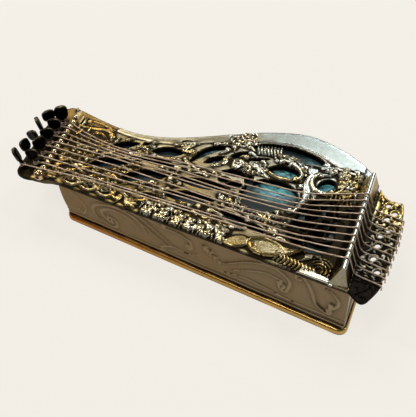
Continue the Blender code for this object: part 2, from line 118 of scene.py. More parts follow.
NUT_FRONT, NUT_BACK = (-6.6, -0.2), (-15.2, 31.6)
NUT_BEADS = 12
BEAD_RADIUS, KNOB_RADIUS, NECK_RADIUS = 1.05, 1.45, 0.55
KNOB_SHOWN = 1.8          # the front knob bulges past its CAD solid
BRIDGE_FRONT, BRIDGE_BACK = (97.25, 0.6), (91.2, 47.6)
BRIDGE_HALF, BRIDGE_HEIGHT, BRIDGE_LEAN = 2.8, 7.0, 0.5
STRING_AT_BRIDGE = (5.2, 34.0)     # Y of the first and the last string on the ridge
# Height of the strings at shares of the way from nut to bridge, and how far each one strays
# there from the straight line
STRING_HEIGHTS = [(0.10, 18.35), (0.25, 18.4), (0.44, 18.6), (0.63, 19.0), (0.82, 20.2),
                  (0.92, 21.5)]
STRING_WANDER = [(1.3, 2.2, 2.4, 2.4, 1.3, 0.5), (0.0, 0.4, 0.5, 0.7, 0.4, 0.2),
                 (0.0, 0.3, 1.2, 0.8, -0.9, -0.4), (-0.2, -0.1, -0.3, -0.6, -1.2, -0.5),
                 (-0.2, 0.1, -0.8, -1.8, -1.5, -0.7), (0.2, 0.3, -0.3, -0.8, -1.3, -0.6),
                 (-0.6, -1.1, -1.6, -2.5, -2.3, -1.1), (-1.6, -2.8, -2.3, -3.4, -3.4, -1.6),
                 (-2.4, -4.4, -3.3, -3.5, -4.2, -2.0), (-3.7, -6.1, -4.4, -3.8, -4.3, -2.0)]
# Length above the plate, tilt and turn of each peg from the front, in millimetres and degrees
PEGS = [(7.6, 28.0, -50.0), (6.4, 21.0, 10.0), (6.8, 26.0, 100.0), (7.0, 17.0, 70.0),
        (6.4, 26.0, 0.0), (6.6, 14.0, 30.0), (7.8, 24.0, -45.0), (6.6, 11.0, 20.0),
        (6.8, 10.0, 60.0), (8.1, 5.0, 45.0)]
PEG_RADIUS, PEG_BORE, PEG_DEPTH = 0.6, 0.65, 3.4
PEG_HEAD_FOOT, PEG_HEAD_HALF, PEG_HEAD_THICK = 2.8, 2.2, 0.75
PEG_FULL = 1.10           # the cast heads bulge a little past their CAD solids
WIRE_SHOWN = 0.235        # overspun wire, a little fuller than its core
PEG_ROWS = (7.6, 3.6)
COIL_TURNS, COIL_PITCH = 1.5, 0.46

# Bright places of the shell, its own iridescence with painted sheen; elsewhere it is painted dark
# as shade: plan centre, reach and strength
SHELL_LUSTRE_AND_PAINTED_SHEEN = [((65.0, 41.4), 6.5, 1.0), ((64.5, 34.0), 9.0, 0.85), ((78.0, 42.6), 5.5, 1.0),
                ((38.0, 40.5), 5.5, 0.7), ((70.0, 52.0), 5.5, 0.22)]


def world(points):
    """Frame metres of plan millimetres."""
    return np.asarray(points, float) * MM + ORIGIN


def clip01(values):
    return np.clip(values, 0, 1)


def way(angle):
    """Unit vector in the plan at an angle in radians."""
    return np.array((math.cos(angle), math.sin(angle)))


def leftward(vector):
    return np.array((-vector[1], vector[0]))


def circle(steps):
    """Equal angles once round."""
    return np.linspace(0, 2 * math.pi, steps, endpoint=False)


# ---------------------------------------------------------------- camera, floor and lights
scene = bpy.context.scene
scene.view_settings.view_transform = "Standard"
CAMERA_AT = (125.851, -130.275, 161.417)
CAMERA_FORWARD = Vector((-0.35038, 0.65536, -0.66913))
CAMERA_RIGHT = Vector((0.88187, 0.47149, 0.0))
CAMERA_LENS = 59.57
camera_data = bpy.data.cameras.new("camera")
camera = bpy.data.objects.new("camera", camera_data)
scene.collection.objects.link(camera)
scene.camera = camera
camera.matrix_world = Matrix(
    (CAMERA_RIGHT, CAMERA_RIGHT.cross(CAMERA_FORWARD), -CAMERA_FORWARD)).transposed().to_4x4()
camera.location = world(CAMERA_AT)
camera_data.sensor_width = 36.0
camera_data.lens = CAMERA_LENS
camera_data.clip_start = 0.005
camera_data.clip_end = 20.0


# ---------------------------------------------------------------- curves in the plan
def smooth(points, steps=6, closed=False):
    """Smooth curve through the points, with equal numbers of steps between them."""
    count = len(points)
    p = np.asarray(points, float)
    result = []
    for k in range(count if closed else count - 1):
        if closed:
            a, b, c, d = (p[(k + j - 1) % count] for j in range(4))
        else:
            a, b, c, d = (p[min(max(k + j - 1, 0), count - 1)] for j in range(4))
        for s in range(steps):
            t = s / steps
            result.append(0.5 * (2 * b + (c - a) * t + (2 * a - 5 * b + 4 * c - d) * t * t
                                 + (3 * b - a - 3 * c + d) * t ** 3))
    if not closed:
        result.append(p[-1])
    return np.array(result)


def straight(start, end, steps):
    """Points from start to end, without the end."""
    return np.linspace(start, end, steps, endpoint=False)


def shift_line(points, distance):
    """Move an open line sideways, outwards when it runs counter-clockwise."""
    p = np.asarray(points, float)
    run = np.vstack([p[1:2] - p[:1], p[2:] - p[:-2], p[-1:] - p[-2:-1]])
    run /= np.linalg.norm(run, axis=1)[:, None]
    return p + np.stack([run[:, 1], -run[:, 0]], 1) * distance


def arc_opening(start, end, rise, fall, steps=14):
    """Outline between two arcs that share their ends."""
    first, last = np.array(start), np.array(end)
    side = np.array((first[1] - last[1], last[0] - first[0]))
    side /= np.linalg.norm(side)
    t = np.arange(steps)[:, None] / steps
    bow = np.sin(np.pi * t) ** 0.8
    return np.vstack([first + (last - first) * t + side * rise * bow,
                      last + (first - last) * t + side * fall * bow])


def oval(centre, half_long, half_short, turn, steps=36):
    a = circle(steps)
    u, v, angle = half_long * np.cos(a), half_short * np.sin(a), math.radians(turn)
    return np.stack([centre[0] + u * math.cos(angle) - v * math.sin(angle),
                     centre[1] + u * math.sin(angle) + v * math.cos(angle)], 1)


def curl(point, heading, radius, turns, side, shrink=0.78):
    """Spiral that leaves the point along a heading in degrees; side 1 turns left."""
    h = math.radians(heading)
    centre = np.array(point) + radius * side * np.array((-math.sin(h), math.cos(h)))
    start = math.atan2(point[1] - centre[1], point[0] - centre[0])
    t = np.linspace(0, 1, max(8, int(16 * turns)))
    a = start + side * 2 * math.pi * turns * t
    r = radius * (1 - shrink * t)
    return centre + np.stack([r * np.cos(a), r * np.sin(a)], 1)


def heading_at(path, index):
    """Direction of a path at its first (0) or last (-1) point, in degrees."""
    step = path[1] - path[0] if index == 0 else path[-1] - path[-2]
    return math.degrees(math.atan2(step[1], step[0]))


# Cross sections of the mouldings, from the middle (0) to the edge (1)
PROFILES = {
    "round": lambda u: np.sqrt(1 - u * u),
    "ridge": lambda u: (1 - u) ** 0.85,
    "soft": lambda u: (1 - u * u) ** 2,
    "double": lambda u: np.sqrt(1 - u * u) * (1 - 0.75 * np.exp(-(u / 0.3) ** 2)),
}


FAR = 50.0                # distance to an edge where none has been set
CREASE_PATINA_AND_SHADE = 0.08             # rubbing cap of the dark line round a moulding: crease patina with painted crease shade


class Relief:
    """Ornament over a grid, in millimetres.

    height is the ornament's height and edge the distance to the nearest edge, negative where
    the plate is open; hole marks the edges that belong to openings. tone picks the colour of
    the metal, the rubbing cap limits how bright it is rubbed and also holds painted shade, and
    shine is the least it is rubbed."""

    def __init__(self, low, high, step):
        self.step = step
        self.low = np.array(low, float)
        nx, ny = (int(round((b - a) / step)) + 1 for a, b in zip(low, high))
        self.x, self.y = np.meshgrid(low[0] + step * np.arange(nx),
                                     low[1] + step * np.arange(ny), indexing="ij")
        self.height = np.zeros((nx, ny))
        self.edge = np.full((nx, ny), FAR)
        self.tone = np.zeros((nx, ny))
        self.hole = np.zeros((nx, ny), bool)
        self.wear_and_shade_cap = np.ones((nx, ny))
        self.shine = np.zeros((nx, ny))

    def window(self, low, high):
        """Slices of the grid that cover a box in the plan."""
        i0, j0 = (np.floor((np.asarray(low) - self.low) / self.step)).astype(int)
        i1, j1 = (np.ceil((np.asarray(high) - self.low) / self.step)).astype(int) + 1
        nx, ny = self.x.shape
        return (slice(max(i0, 0), max(min(i1, nx), 0)), slice(max(j0, 0), max(min(j1, ny), 0)))

    def distance(self, outline, margin=None):
        """Signed distance to a closed outline, positive inside, on a window round it."""
        p = np.asarray(outline, float)
        where = (slice(None), slice(None)) if margin is None else \
            self.window(p.min(0) - margin, p.max(0) + margin)
        x, y = self.x[where], self.y[where]
        best = np.full(x.shape, 1e9)
        odd = np.zeros(x.shape, bool)
        for (ax, ay), (bx, by) in zip(p, np.roll(p, -1, 0)):
            ux, uy = bx - ax, by - ay
            t = clip01(((x - ax) * ux + (y - ay) * uy) / (ux * ux + uy * uy + 1e-12))
            best = np.minimum(best, (x - ax - t * ux) ** 2 + (y - ay - t * uy) ** 2)
            if abs(uy) > 1e-9:
                odd ^= ((ay > y) != (by > y)) & (x < ax + (y - ay) * ux / uy)
        return where, np.where(odd, 1.0, -1.0) * np.sqrt(best)

    def cut(self, outline):
        """Open a hole with this outline."""
        where, inside = self.distance(outline, 4.0)
        self.hole[where] |= -inside < self.edge[where]
        self.edge[where] = np.minimum(self.edge[where], -inside)

    def stroke(self, path, radius, rise, profile="round", bridge=False, tone=None, outline=0.0):
        """Raise a moulding along the path; radius and rise may taper along it.

        An outline is a dark line of that width round the moulding: crease patina with painted
        crease shade."""
        path = np.asarray(path, float)
        count = len(path)
        share = np.linspace(0, 1, count)
        radii = np.interp(share, np.linspace(0, 1, len(radius)), radius)
        rises = np.interp(share, np.linspace(0, 1, len(rise)), rise)
        shape = PROFILES[profile]
        for k in range(count - 1):
            a, b = path[k], path[k + 1]
            reach = max(radii[k], radii[k + 1]) + outline
            where = self.window(np.minimum(a, b) - reach, np.maximum(a, b) + reach)
            x, y = self.x[where], self.y[where]
            if not x.size:
                continue
            u = b - a
            t = clip01(((x - a[0]) * u[0] + (y - a[1]) * u[1]) / (u @ u + 1e-12))
            r = radii[k] + (radii[k + 1] - radii[k]) * t
            d = np.hypot(x - a[0] - t * u[0], y - a[1] - t * u[1])
            near = clip01(d / np.maximum(r, 1e-6))
            h = (rises[k] + (rises[k + 1] - rises[k]) * t) * shape(near)
            covered = d < r
            self.height[where] = np.where(covered, np.maximum(self.height[where], h),
                                          self.height[where])
            if outline:
                limit = np.where(covered, 1.0, self.wear_and_shade_cap[where])
                crease_patina_and_shade = ~covered & (d < r + outline) & (self.height[where] < 0.55 * h.max())
                self.wear_and_shade_cap[where] = np.where(crease_patina_and_shade, CREASE_PATINA_AND_SHADE, limit)
            if bridge:
                self.edge[where] = np.maximum(self.edge[where], r * 0.92 - d)
            if tone is not None:
                self.tone[where] = np.where(covered, tone, self.tone[where])

    def pool(self, outline, level, shine, tone):
        """Smooth polished field at a level, blended into what lies round it."""
        where, inside = self.distance(outline, 1.0)
        share = clip01(inside / 0.5)
        self.height[where] += (level - self.height[where]) * share
        self.shine[where] = np.maximum(self.shine[where], shine * share)
        self.tone[where] += (tone - self.tone[where]) * share

    def scroll(self, points, width, rise, curls=(None, None), profile="round", **options):
        """Curved moulding through the points; each end may wind into a curl with a bead."""
        path = smooth(points, 8)
        first, last = curls
        if last:
            path = np.vstack([path, curl(path[-1], heading_at(path, -1), *last)[1:]])
        if first:
            back = curl(path[0], heading_at(path, 0) + 180, *first)[1:]
            path = np.vstack([back[::-1], path])
        self.stroke(path, width, rise, profile, **options)
        for at, which in ((path[0], first), (path[-1], last)):
            if which:
                self.bead(at, max(width[0], width[-1]) * 1.5, max(rise) * 1.15, **options)

    def bead(self, at, radius, rise, **options):
        """Round button."""
        at = np.array(at, float)
        self.stroke([at, at + 0.01], [radius], [rise], **options)

    def leaf(self, spine, width, lobes, rise, sides=(1, -1), lean=42.0, **options):
        """Cut leaf: a stem with fluted lobes that shorten towards the tip."""
        path = smooth(spine, 10)
        for k in range(lobes):
            share = (k + 0.6) / lobes
            index = min(int(share * (len(path) - 2)), len(path) - 2)
            at, run = path[index], path[index + 1] - path[index]
            angle = math.atan2(run[1], run[0])
            reach = width * math.sin(math.pi * (0.22 + 0.68 * share)) ** 0.8
            for side in sides:
                turn = angle + side * math.radians(lean + 22 * (1 - share))
                bend = angle + side * math.radians(lean * 0.35)
                mid = at + 0.55 * reach * way(turn)
                tip = mid + 0.55 * reach * way(bend)
                thick = 0.16 + 0.13 * reach
                self.stroke(smooth([at, mid, tip], 4), [thick * 0.7, thick, thick * 0.35],
                            [rise * 0.7, rise, rise * 0.45], "ridge", **options)
        self.stroke(path, [0.42, 0.3, 0.2], [rise * 1.05, rise, rise * 0.6], **options)

    def fan(self, centre, heading, spread, ribs, length, rise, width=0.32, **options):
        """Shell of ribs that spread from a centre."""
        for k in range(ribs):
            a = math.radians(heading + spread * (k / (ribs - 1) - 0.5))
            reach = length * (0.82 + 0.18 * math.cos(math.pi * (k / (ribs - 1) - 0.5)))
            d = way(a)
            path = smooth([centre + d * 0.12 * reach,
                           centre + d * 0.6 * reach + leftward(d) * (0.10 * reach),
                           centre + d * reach], 5)
            self.stroke(path, [width * 0.55, width, width * 1.25], [rise * 0.6, rise, rise],
                        "round", **options)

    def flower(self, centre, radius, petals, rise, turn=0.0, **options):
        """Flower of cleft petals round a bead."""
        for k in range(petals):
            d = way(math.radians(turn + 360 * k / petals))
            n = leftward(d) * radius * 0.16
            for side in (-1, 1):
                self.stroke([centre + d * radius * 0.25, centre + d * radius * 0.62 + side * n,
                             centre + d * radius * 0.86],
                            [radius * 0.14, radius * 0.22, radius * 0.12],
                            [rise * 0.7, rise, rise * 0.6], **options)
        self.bead(centre, radius * 0.3, rise * 1.15, **options)

    def beads(self, path, radius, rise, spacing, **options):
        """Row of beads along a curve."""
        path = smooth(path, 12)
        run = np.concatenate([[0], np.cumsum(np.linalg.norm(np.diff(path, axis=0), axis=1))])
        for d in np.arange(0, run[-1], spacing):
            self.bead((np.interp(d, run, path[:, 0]), np.interp(d, run, path[:, 1])),
                      radius, rise, **options)

    def blurred(self, field, sigma):
        """Field with a Gaussian blur over sigma millimetres."""
        reach = int(math.ceil(3 * sigma / self.step))
        k = np.exp(-0.5 * (np.arange(-reach, reach + 1) * self.step / sigma) ** 2)
        k /= k.sum()
        result = field
        for axis in (0, 1):
            pad = [(reach, reach) if a == axis else (0, 0) for a in (0, 1)]
            wide = np.pad(result, pad, mode="edge")
            n = result.shape[axis]
            result = sum(w * np.take(wide, range(s, s + n), axis) for s, w in enumerate(k))
        return result

    def worn(self, sigma=0.8, contrast=0.5, hollow=-0.35):
        """0 in the recesses, 1 on the rubbed high parts, held under the rubbing cap, which also
        brings in painted shade.
        """
        full = np.where(self.edge > 0, self.height, hollow)
        high = self.height - self.blurred(full, sigma)
        return np.maximum(clip01(0.5 + high / contrast) * self.wear_and_shade_cap, self.shine)


# ---------------------------------------------------------------- meshes
def make_mesh(name, points, faces, material, attributes, sharp=None):
    """Object from points in plan millimetres and arrays of three or four cornered faces."""
    faces = [np.asarray(f, np.int32) for f in faces if len(f)]
    mesh = bpy.data.meshes.new(name)
    where = world(points)
    sizes = np.concatenate([np.full(len(f), f.shape[1]) for f in faces])
    loops = np.concatenate([f.ravel() for f in faces]).astype(np.int32)
    mesh.vertices.add(len(where))
    mesh.vertices.foreach_set("co", where.ravel().astype(np.float32))
    mesh.loops.add(len(loops))
    mesh.loops.foreach_set("vertex_index", loops)
    mesh.polygons.add(len(sizes))
    mesh.polygons.foreach_set("loop_start",
                              np.concatenate([[0], np.cumsum(sizes)[:-1]]).astype(np.int32))
    mesh.update(calc_edges=True)
    for key, values in attributes.items():
        mesh.attributes.new(key, "FLOAT", "POINT").data.foreach_set(
            "value", np.asarray(values, np.float32))
    mesh.polygons.foreach_set("use_smooth", np.ones(len(sizes), bool))
    if sharp is not None:
        mesh.set_sharp_from_angle(angle=math.radians(sharp))
    mesh.materials.append(material)
    item = bpy.data.objects.new(name, mesh)
    scene.collection.objects.link(item)
    return item


def loops_of(starts, ends):
    """Chains of directed edges as closed loops of points."""
    onward = dict(zip(starts.tolist(), ends.tolist()))
    result = []
    while onward:
        first, here = next(iter(onward.items()))
        loop = [first]
        del onward[first]
        while here != first:
            loop.append(here)
            here = onward.pop(here)
        result.append(loop)
    return result


def cells_at_points(cells):
    """The four cells that meet at each grid point."""
    p = np.pad(cells, 1)
    return p[:-1, :-1], p[1:, :-1], p[:-1, 1:], p[1:, 1:]


UNPINCH_PASSES = 12       # fills cells that touch only at a corner
LIP = 0.22                # depth of the bright lip at an edge, above its darker side


def relief_plate(name, relief, level, low_outer, low_hole, material, bevel=(0.5, 0.35)):
    """Closed plate whose top is the relief; its edge is the line where relief.edge is zero.

    The underside lies at low_outer, but the sides of the openings end at low_hole."""
    edge, step = relief.edge.copy(), relief.step
    cells = (edge[:-1, :-1] + edge[1:, :-1] + edge[:-1, 1:] + edge[1:, 1:]) > 0
    for _ in range(UNPINCH_PASSES):
        a, b, c, d = cells_at_points(cells)
        pinch = (a & d & ~b & ~c) | (b & c & ~a & ~d)
        if not pinch.any():
            break
        for i, j in zip(*np.nonzero(pinch)):
            cells[max(i - 1, 0):i + 1, max(j - 1, 0):j + 1] = True
    around = cells_at_points(cells)
    used = np.logical_or.reduce(around)
    border = used & ~np.logical_and.reduce(around)
    gx, gy = np.gradient(edge, step)
    norm = np.maximum(gx * gx + gy * gy, 0.25)
    move = np.clip(-edge / norm, -0.9 * step, 0.9 * step)
    x = np.where(border, relief.x + move * gx, relief.x)
    y = np.where(border, relief.y + move * gy, relief.y)
    reach, drop = bevel
    inward = clip01(np.where(border, 0.0, edge) / reach)
    z = level + relief.height - drop * (1 - np.sqrt(1 - (1 - inward) ** 2))
    index = np.full(used.shape, -1)
    index[used] = np.arange(used.sum())
    top = np.stack([x[used], y[used], z[used]], 1)
    i, j = np.nonzero(cells)
    quads = np.stack([index[i, j], index[i + 1, j], index[i + 1, j + 1], index[i, j + 1]], 1)
    q = np.pad(cells, 1)
    sides = []
    for (di, dj), (a, b) in (((0, -1), ((0, 0), (1, 0))), ((1, 0), ((1, 0), (1, 1))),
                             ((0, 1), ((1, 1), (0, 1))), ((-1, 0), ((0, 1), (0, 0)))):
        free = ~q[i + 1 + di, j + 1 + dj]
        sides.append(np.stack([index[i[free] + a[0], j[free] + a[1]],
                               index[i[free] + b[0], j[free] + b[1]]], 1))
    sides = np.vstack(sides)
    rim = np.unique(sides)
    lower = np.full(len(top), -1)
    lower[rim] = len(top) + np.arange(len(rim))
    low, under = top[rim].copy(), top[rim].copy()
    hole = relief.hole[used][rim]
    low[:, 2] = np.where(hole, low_hole, low_outer)
    under[:, 2] -= LIP
    middle = np.where(lower >= 0, lower + len(rim), -1)
    walls = np.vstack([
        np.stack([sides[:, 1], sides[:, 0], middle[sides[:, 0]], middle[sides[:, 1]]], 1),
        np.stack([middle[sides[:, 1]], middle[sides[:, 0]], lower[sides[:, 0]],
                  lower[sides[:, 1]]], 1)])
    points = np.vstack([top, low, under])
    chains = loops_of(lower[sides[:, 0]], lower[sides[:, 1]])
    filled = tessellate_polygon([[Vector((*points[k][:2], 0.0)) for k in chain]
                                 for chain in chains])
    bottom = np.array([k for chain in chains for k in chain])[np.array(filled, int)]
    a, b, c = (points[bottom[:, n]][:, :2] for n in range(3))
    area = (b[:, 0] - a[:, 0]) * (c[:, 1] - a[:, 1]) - (b[:, 1] - a[:, 1]) * (c[:, 0] - a[:, 0])
    bottom = np.where((area > 0)[:, None], bottom[:, ::-1], bottom)
    worn = relief.worn()[used]
    tone = relief.tone[used]
    # painted shade: the sides of the openings get no rubbing and a tone of -1, so they render
    # near-black
    dark = np.where(hole, 0.0, 0.3)
    wall_tone = np.where(hole, -1.0, tone[rim])
    attributes = {"worn": np.concatenate([worn, dark, dark]),
                  "tone": np.concatenate([tone, wall_tone, wall_tone])}
    return make_mesh(name, points, [quads, walls, bottom], material, attributes, 55)


END_STEPS = ((0.98, 0.2), (0.75, 0.66), (0.4, 0.92))   # reach and radius of a rounded end
NO_WIRE_RUN = (0.0, 0.31, 0.95)     # a direction that no wire starts along


def tube(name, path, radius, sides, material):
    """Round wire along a path in plan millimetres, with rounded ends."""
    path = np.asarray(path, float)
    run = np.gradient(path, axis=0)
    run /= np.linalg.norm(run, axis=1)[:, None]
    normal = np.cross(run[0], NO_WIRE_RUN)
    frames, along, length = [], [], 0.0
    a = circle(sides)
    for k in range(len(path)):
        normal = normal - run[k] * (normal @ run[k])
        normal /= np.linalg.norm(normal)
        frames.append((path[k], normal, np.cross(run[k], normal), run[k]))
        if k:
            length += np.linalg.norm(path[k] - path[k - 1])
        along.append(length)
    stations = [(frames[0], -radius * back * 0.6, share, 0.0) for back, share in END_STEPS]
    stations += [(f, 0.0, 1.0, d) for f, d in zip(frames, along)]
    stations += [(frames[-1], radius * back * 0.6, share, length)
                 for back, share in END_STEPS[::-1]]
    points, distance = [], []
    for (at, n, b, t), shift, share, d in stations:
        points.append(at + t * shift + radius * share
                      * (np.cos(a)[:, None] * n + np.sin(a)[:, None] * b))
        distance.append(np.full(sides, d))
    return ring_mesh(name, points, material, {"run": np.concatenate(distance)})


def skin(rings, closed=False):
    """Quads between successive rings of equal length; closed joins the last to the first."""
    count, rows = len(rings[0]), len(rings)
    k = np.arange(count)
    n = (k + 1) % count
    steps = [(r, (r + 1) % rows) for r in range(rows if closed else rows - 1)]
    return np.vstack([np.stack([r * count + k, r * count + n, s * count + n, s * count + k], 1)
                      for r, s in steps])


def ring_mesh(name, rings, material, attributes, sharp=None):
    """Closed skin through rings of equal length, capped at both ends."""
    count, rows = len(rings[0]), len(rings)
    k = np.arange(count)
    n = (k + 1) % count
    quads = skin(rings)
    points = np.vstack(list(rings) + [np.mean(rings[0], 0)[None], np.mean(rings[-1], 0)[None]])
    first, last = rows * count, rows * count + 1
    caps = np.vstack([np.stack([np.full(count, first), n, k], 1),
                      np.stack([np.full(count, last), (rows - 1) * count + k,
                                (rows - 1) * count + n], 1)])
    centre = np.mean(points, 0)
    a, b, c = points[quads[:, 0]], points[quads[:, 1]], points[quads[:, 2]]
    if np.sum(np.cross(b - a, c - a) * (a - centre)) < 0:
        quads, caps = quads[:, ::-1], caps[:, ::-1]
    attributes = {key: np.concatenate([v, [v[0], v[-1]]]) for key, v in attributes.items()}
    return make_mesh(name, points, [quads, caps], material, attributes, sharp)


# ---------------------------------------------------------------- materials
def add_node(tree, kind, inputs=None, **settings):
    """Node with these inputs, as values or linked sockets, and settings."""
    node = tree.nodes.new(kind)
    for key, value in settings.items():
        setattr(node, key, value)
    for key, value in (inputs or {}).items():
        if isinstance(value, bpy.types.NodeSocket):
            tree.links.new(value, node.inputs[key])
        else:
            node.inputs[key].default_value = value
    return node


def attribute(tree, name):
    return add_node(tree, "ShaderNodeAttribute", attribute_name=name).outputs["Fac"]


def ramp(tree, factor, stops):
    """Colour ramp through stops of place and colour."""
    node = add_node(tree, "ShaderNodeValToRGB", {"Fac": factor})
    elements = node.color_ramp.elements
    while len(elements) < len(stops):
        elements.new(0.5)
    for element, (at, colour) in zip(elements, stops):
        element.position = at
        element.color = (*colour, 1.0)
    return node.outputs["Color"]


def spread(tree, value, low, high, to_low=0.0, to_high=1.0):
    """Value mapped from one range to another, and clamped to it."""
    node = add_node(tree, "ShaderNodeMapRange",
                    {"Value": value, "From Min": low, "From Max": high,
                     "To Min": to_low, "To Max": to_high})
    return node.outputs["Result"]


def sums(tree, operation, first, second):
    return add_node(tree, "ShaderNodeMath", {0: first, 1: second},
                    operation=operation).outputs[0]


def mixed(tree, factor, first, second):
    """Mix of two colours, each a tuple or a socket."""
    node = add_node(tree, "ShaderNodeMix", data_type="RGBA")
    for socket, value in ((node.inputs[0], factor), (node.inputs[6], first),
                          (node.inputs[7], second)):
        if isinstance(value, bpy.types.NodeSocket):
            tree.links.new(value, socket)
        elif isinstance(value, tuple):
            socket.default_value = (*value, 1.0)
        else:
            socket.default_value = value
    return node.outputs[2]


def noise(tree, where, scale, detail=4.0, rough=0.55, distortion=0.0):
    return add_node(tree, "ShaderNodeTexNoise",
                    {"Vector": where, "Scale": scale, "Detail": detail, "Roughness": rough,
                     "Distortion": distortion}).outputs["Fac"]


def start_material(name, metallic=1.0, **sockets):
    """New material with its node tree, shader and object coordinates."""
    material = bpy.data.materials.new(name)
    material.use_nodes = True
    tree = material.node_tree
    shader = tree.nodes["Principled BSDF"]
    shader.inputs["Metallic"].default_value = metallic
    for key, value in sockets.items():
        shader.inputs[key.replace("_", " ")].default_value = value
    where = add_node(tree, "ShaderNodeTexCoord").outputs["Object"]
    return material, tree, shader, where


def finish_surface(tree, shader, colour, roughness, grain, strength, distance):
    """Link colour and roughness, and emboss the grain with a bump."""
    tree.links.new(colour, shader.inputs["Base Color"])
    tree.links.new(roughness, shader.inputs["Roughness"])
    bump = add_node(tree, "ShaderNodeBump",
                    {"Strength": strength, "Distance": distance, "Height": grain})
    tree.links.new(bump.outputs["Normal"], shader.inputs["Normal"])


UNLIT = (0.0015, 0.0013, 0.001)


def ornate_metal(name, tones, patina, wear_and_shade=(0.30, 0.62), rough=(0.52, 0.24), grain=0.25):
    """Cast metal finished by chasing: dark patina in the recesses, rubbed bright on the high
    parts; the rub attribute also carries painted shade, and sides with a tone of -1 are painted
    near-black shade.
    """
    material, tree, shader, where = start_material(name)
    worn, tone = attribute(tree, "worn"), attribute(tree, "tone")
    cloud = noise(tree, where, 160.0, 5.0, 0.6)
    speck = noise(tree, where, 1500.0, 3.0, 0.6)
    pits = noise(tree, where, 4200.0, 2.0, 0.5)
    shade = sums(tree, "ADD", tone, spread(tree, cloud, 0.3, 0.7, -0.14, 0.14))
    metal = ramp(tree, shade, tones)
    tarnish = spread(tree, speck, 0.3, 0.75, -0.05, 0.05)
    bright_share = spread(tree, sums(tree, "ADD", worn, tarnish), *wear_and_shade)
    # the sides of the openings carry a tone of -1 and are painted almost black, as shade
    unlit = spread(tree, tone, -0.9, -0.2)
    colour = mixed(tree, bright_share, mixed(tree, unlit, UNLIT, patina), metal)
    dull = spread(tree, cloud, 0.3, 0.7, -0.04, 0.07)
    roughness = sums(tree, "ADD", spread(tree, bright_share, 0.0, 1.0, *rough), dull)
    height = sums(tree, "ADD", sums(tree, "MULTIPLY", speck, 0.7),
                  sums(tree, "MULTIPLY", pits, 0.3))
    finish_surface(tree, shader, colour, roughness, height, grain, 0.00012)
    return material


GOLD_TO_SILVER = [(0.0, (0.34, 0.20, 0.055)), (0.25, (0.48, 0.35, 0.13)),
                  (0.5, (0.58, 0.50, 0.31)), (0.75, (0.68, 0.65, 0.54)),
                  (1.0, (0.67, 0.73, 0.70))]
PATINA = (0.020, 0.015, 0.008)
ornate = ornate_metal("silver_gilt_relief", GOLD_TO_SILVER, PATINA)
tail_metal = ornate_metal("tail_gilt_relief", GOLD_TO_SILVER, (0.012, 0.010, 0.008))
wall_metal = ornate_metal(
    "bronze_wall_relief",
    [(0.0, (0.200, 0.122, 0.046)), (0.5, (0.225, 0.163, 0.092)), (1.0, (0.285, 0.235, 0.158))],
    (0.080, 0.050, 0.024), (-0.1, 0.72), (0.44, 0.28), 0.18)
rim_metal = ornate_metal(
    "gilt_rim_metal",
    [(0.0, (0.36, 0.12, 0.022)), (0.5, (0.42, 0.22, 0.055)), (1.0, (0.50, 0.33, 0.11))],
    (0.05, 0.025, 0.010), (0.2, 0.6), (0.5, 0.3), 0.2)
nut_metal = ornate_metal("nut_gilt", [(0.0, (0.45, 0.22, 0.09)), (0.5, (0.72, 0.58, 0.36)),
                                      (1.0, (0.80, 0.76, 0.66))], (0.05, 0.025, 0.012),
                         (0.1, 0.5), (0.35, 0.16), 0.12)
bridge_metal = ornate_metal("bridge_cast_metal", GOLD_TO_SILVER, (0.022, 0.017, 0.011),
                            (0.3, 0.8), (0.45, 0.22), 0.2)


def peg_metal():
    """Blackened steel, rubbed olive and tan on the edges."""
    material, tree, shader, where = start_material("blackened_peg_metal")
    worn = attribute(tree, "worn")
    cloud = noise(tree, where, 420.0, 5.0, 0.65)
    grain = noise(tree, where, 2600.0, 3.0, 0.6)
    rubbed = spread(tree, sums(tree, "ADD", worn, spread(tree, cloud, 0.3, 0.7, -0.3, 0.3)),
                    0.5, 1.15)
    colour = mixed(tree, rubbed, (0.005, 0.0046, 0.004), (0.125, 0.102, 0.064))
    roughness = sums(tree, "ADD", spread(tree, rubbed, 0.0, 1.0, 0.42, 0.26),
                     spread(tree, grain, 0.3, 0.7, -0.05, 0.08))
    finish_surface(tree, shader, colour, roughness, grain, 0.2, 0.0001)
    return material


def copper_wire():
    """Overspun copper wire: fine turns along its length, browned in places."""
    material, tree, shader, where = start_material("overspun_copper")
    run = attribute(tree, "run")
    cloud = noise(tree, where, 260.0, 4.0, 0.6)
    wound = sums(tree, "SINE", sums(tree, "MULTIPLY", run, 26.0), 0.0)
    colour = ramp(tree, spread(tree, cloud, 0.3, 0.7), [
        (0.0, (0.36, 0.25, 0.17)), (0.5, (0.57, 0.43, 0.33)), (1.0, (0.74, 0.62, 0.51))])
    groove = spread(tree, wound, -1.0, 0.2, 0.78, 1.0)
    shaded = mixed(tree, groove, (0.12, 0.065, 0.04), colour)
    finish_surface(tree, shader, shaded, spread(tree, cloud, 0.3, 0.7, 0.28, 0.42), wound, 0.35,
                 0.00003)
    return material


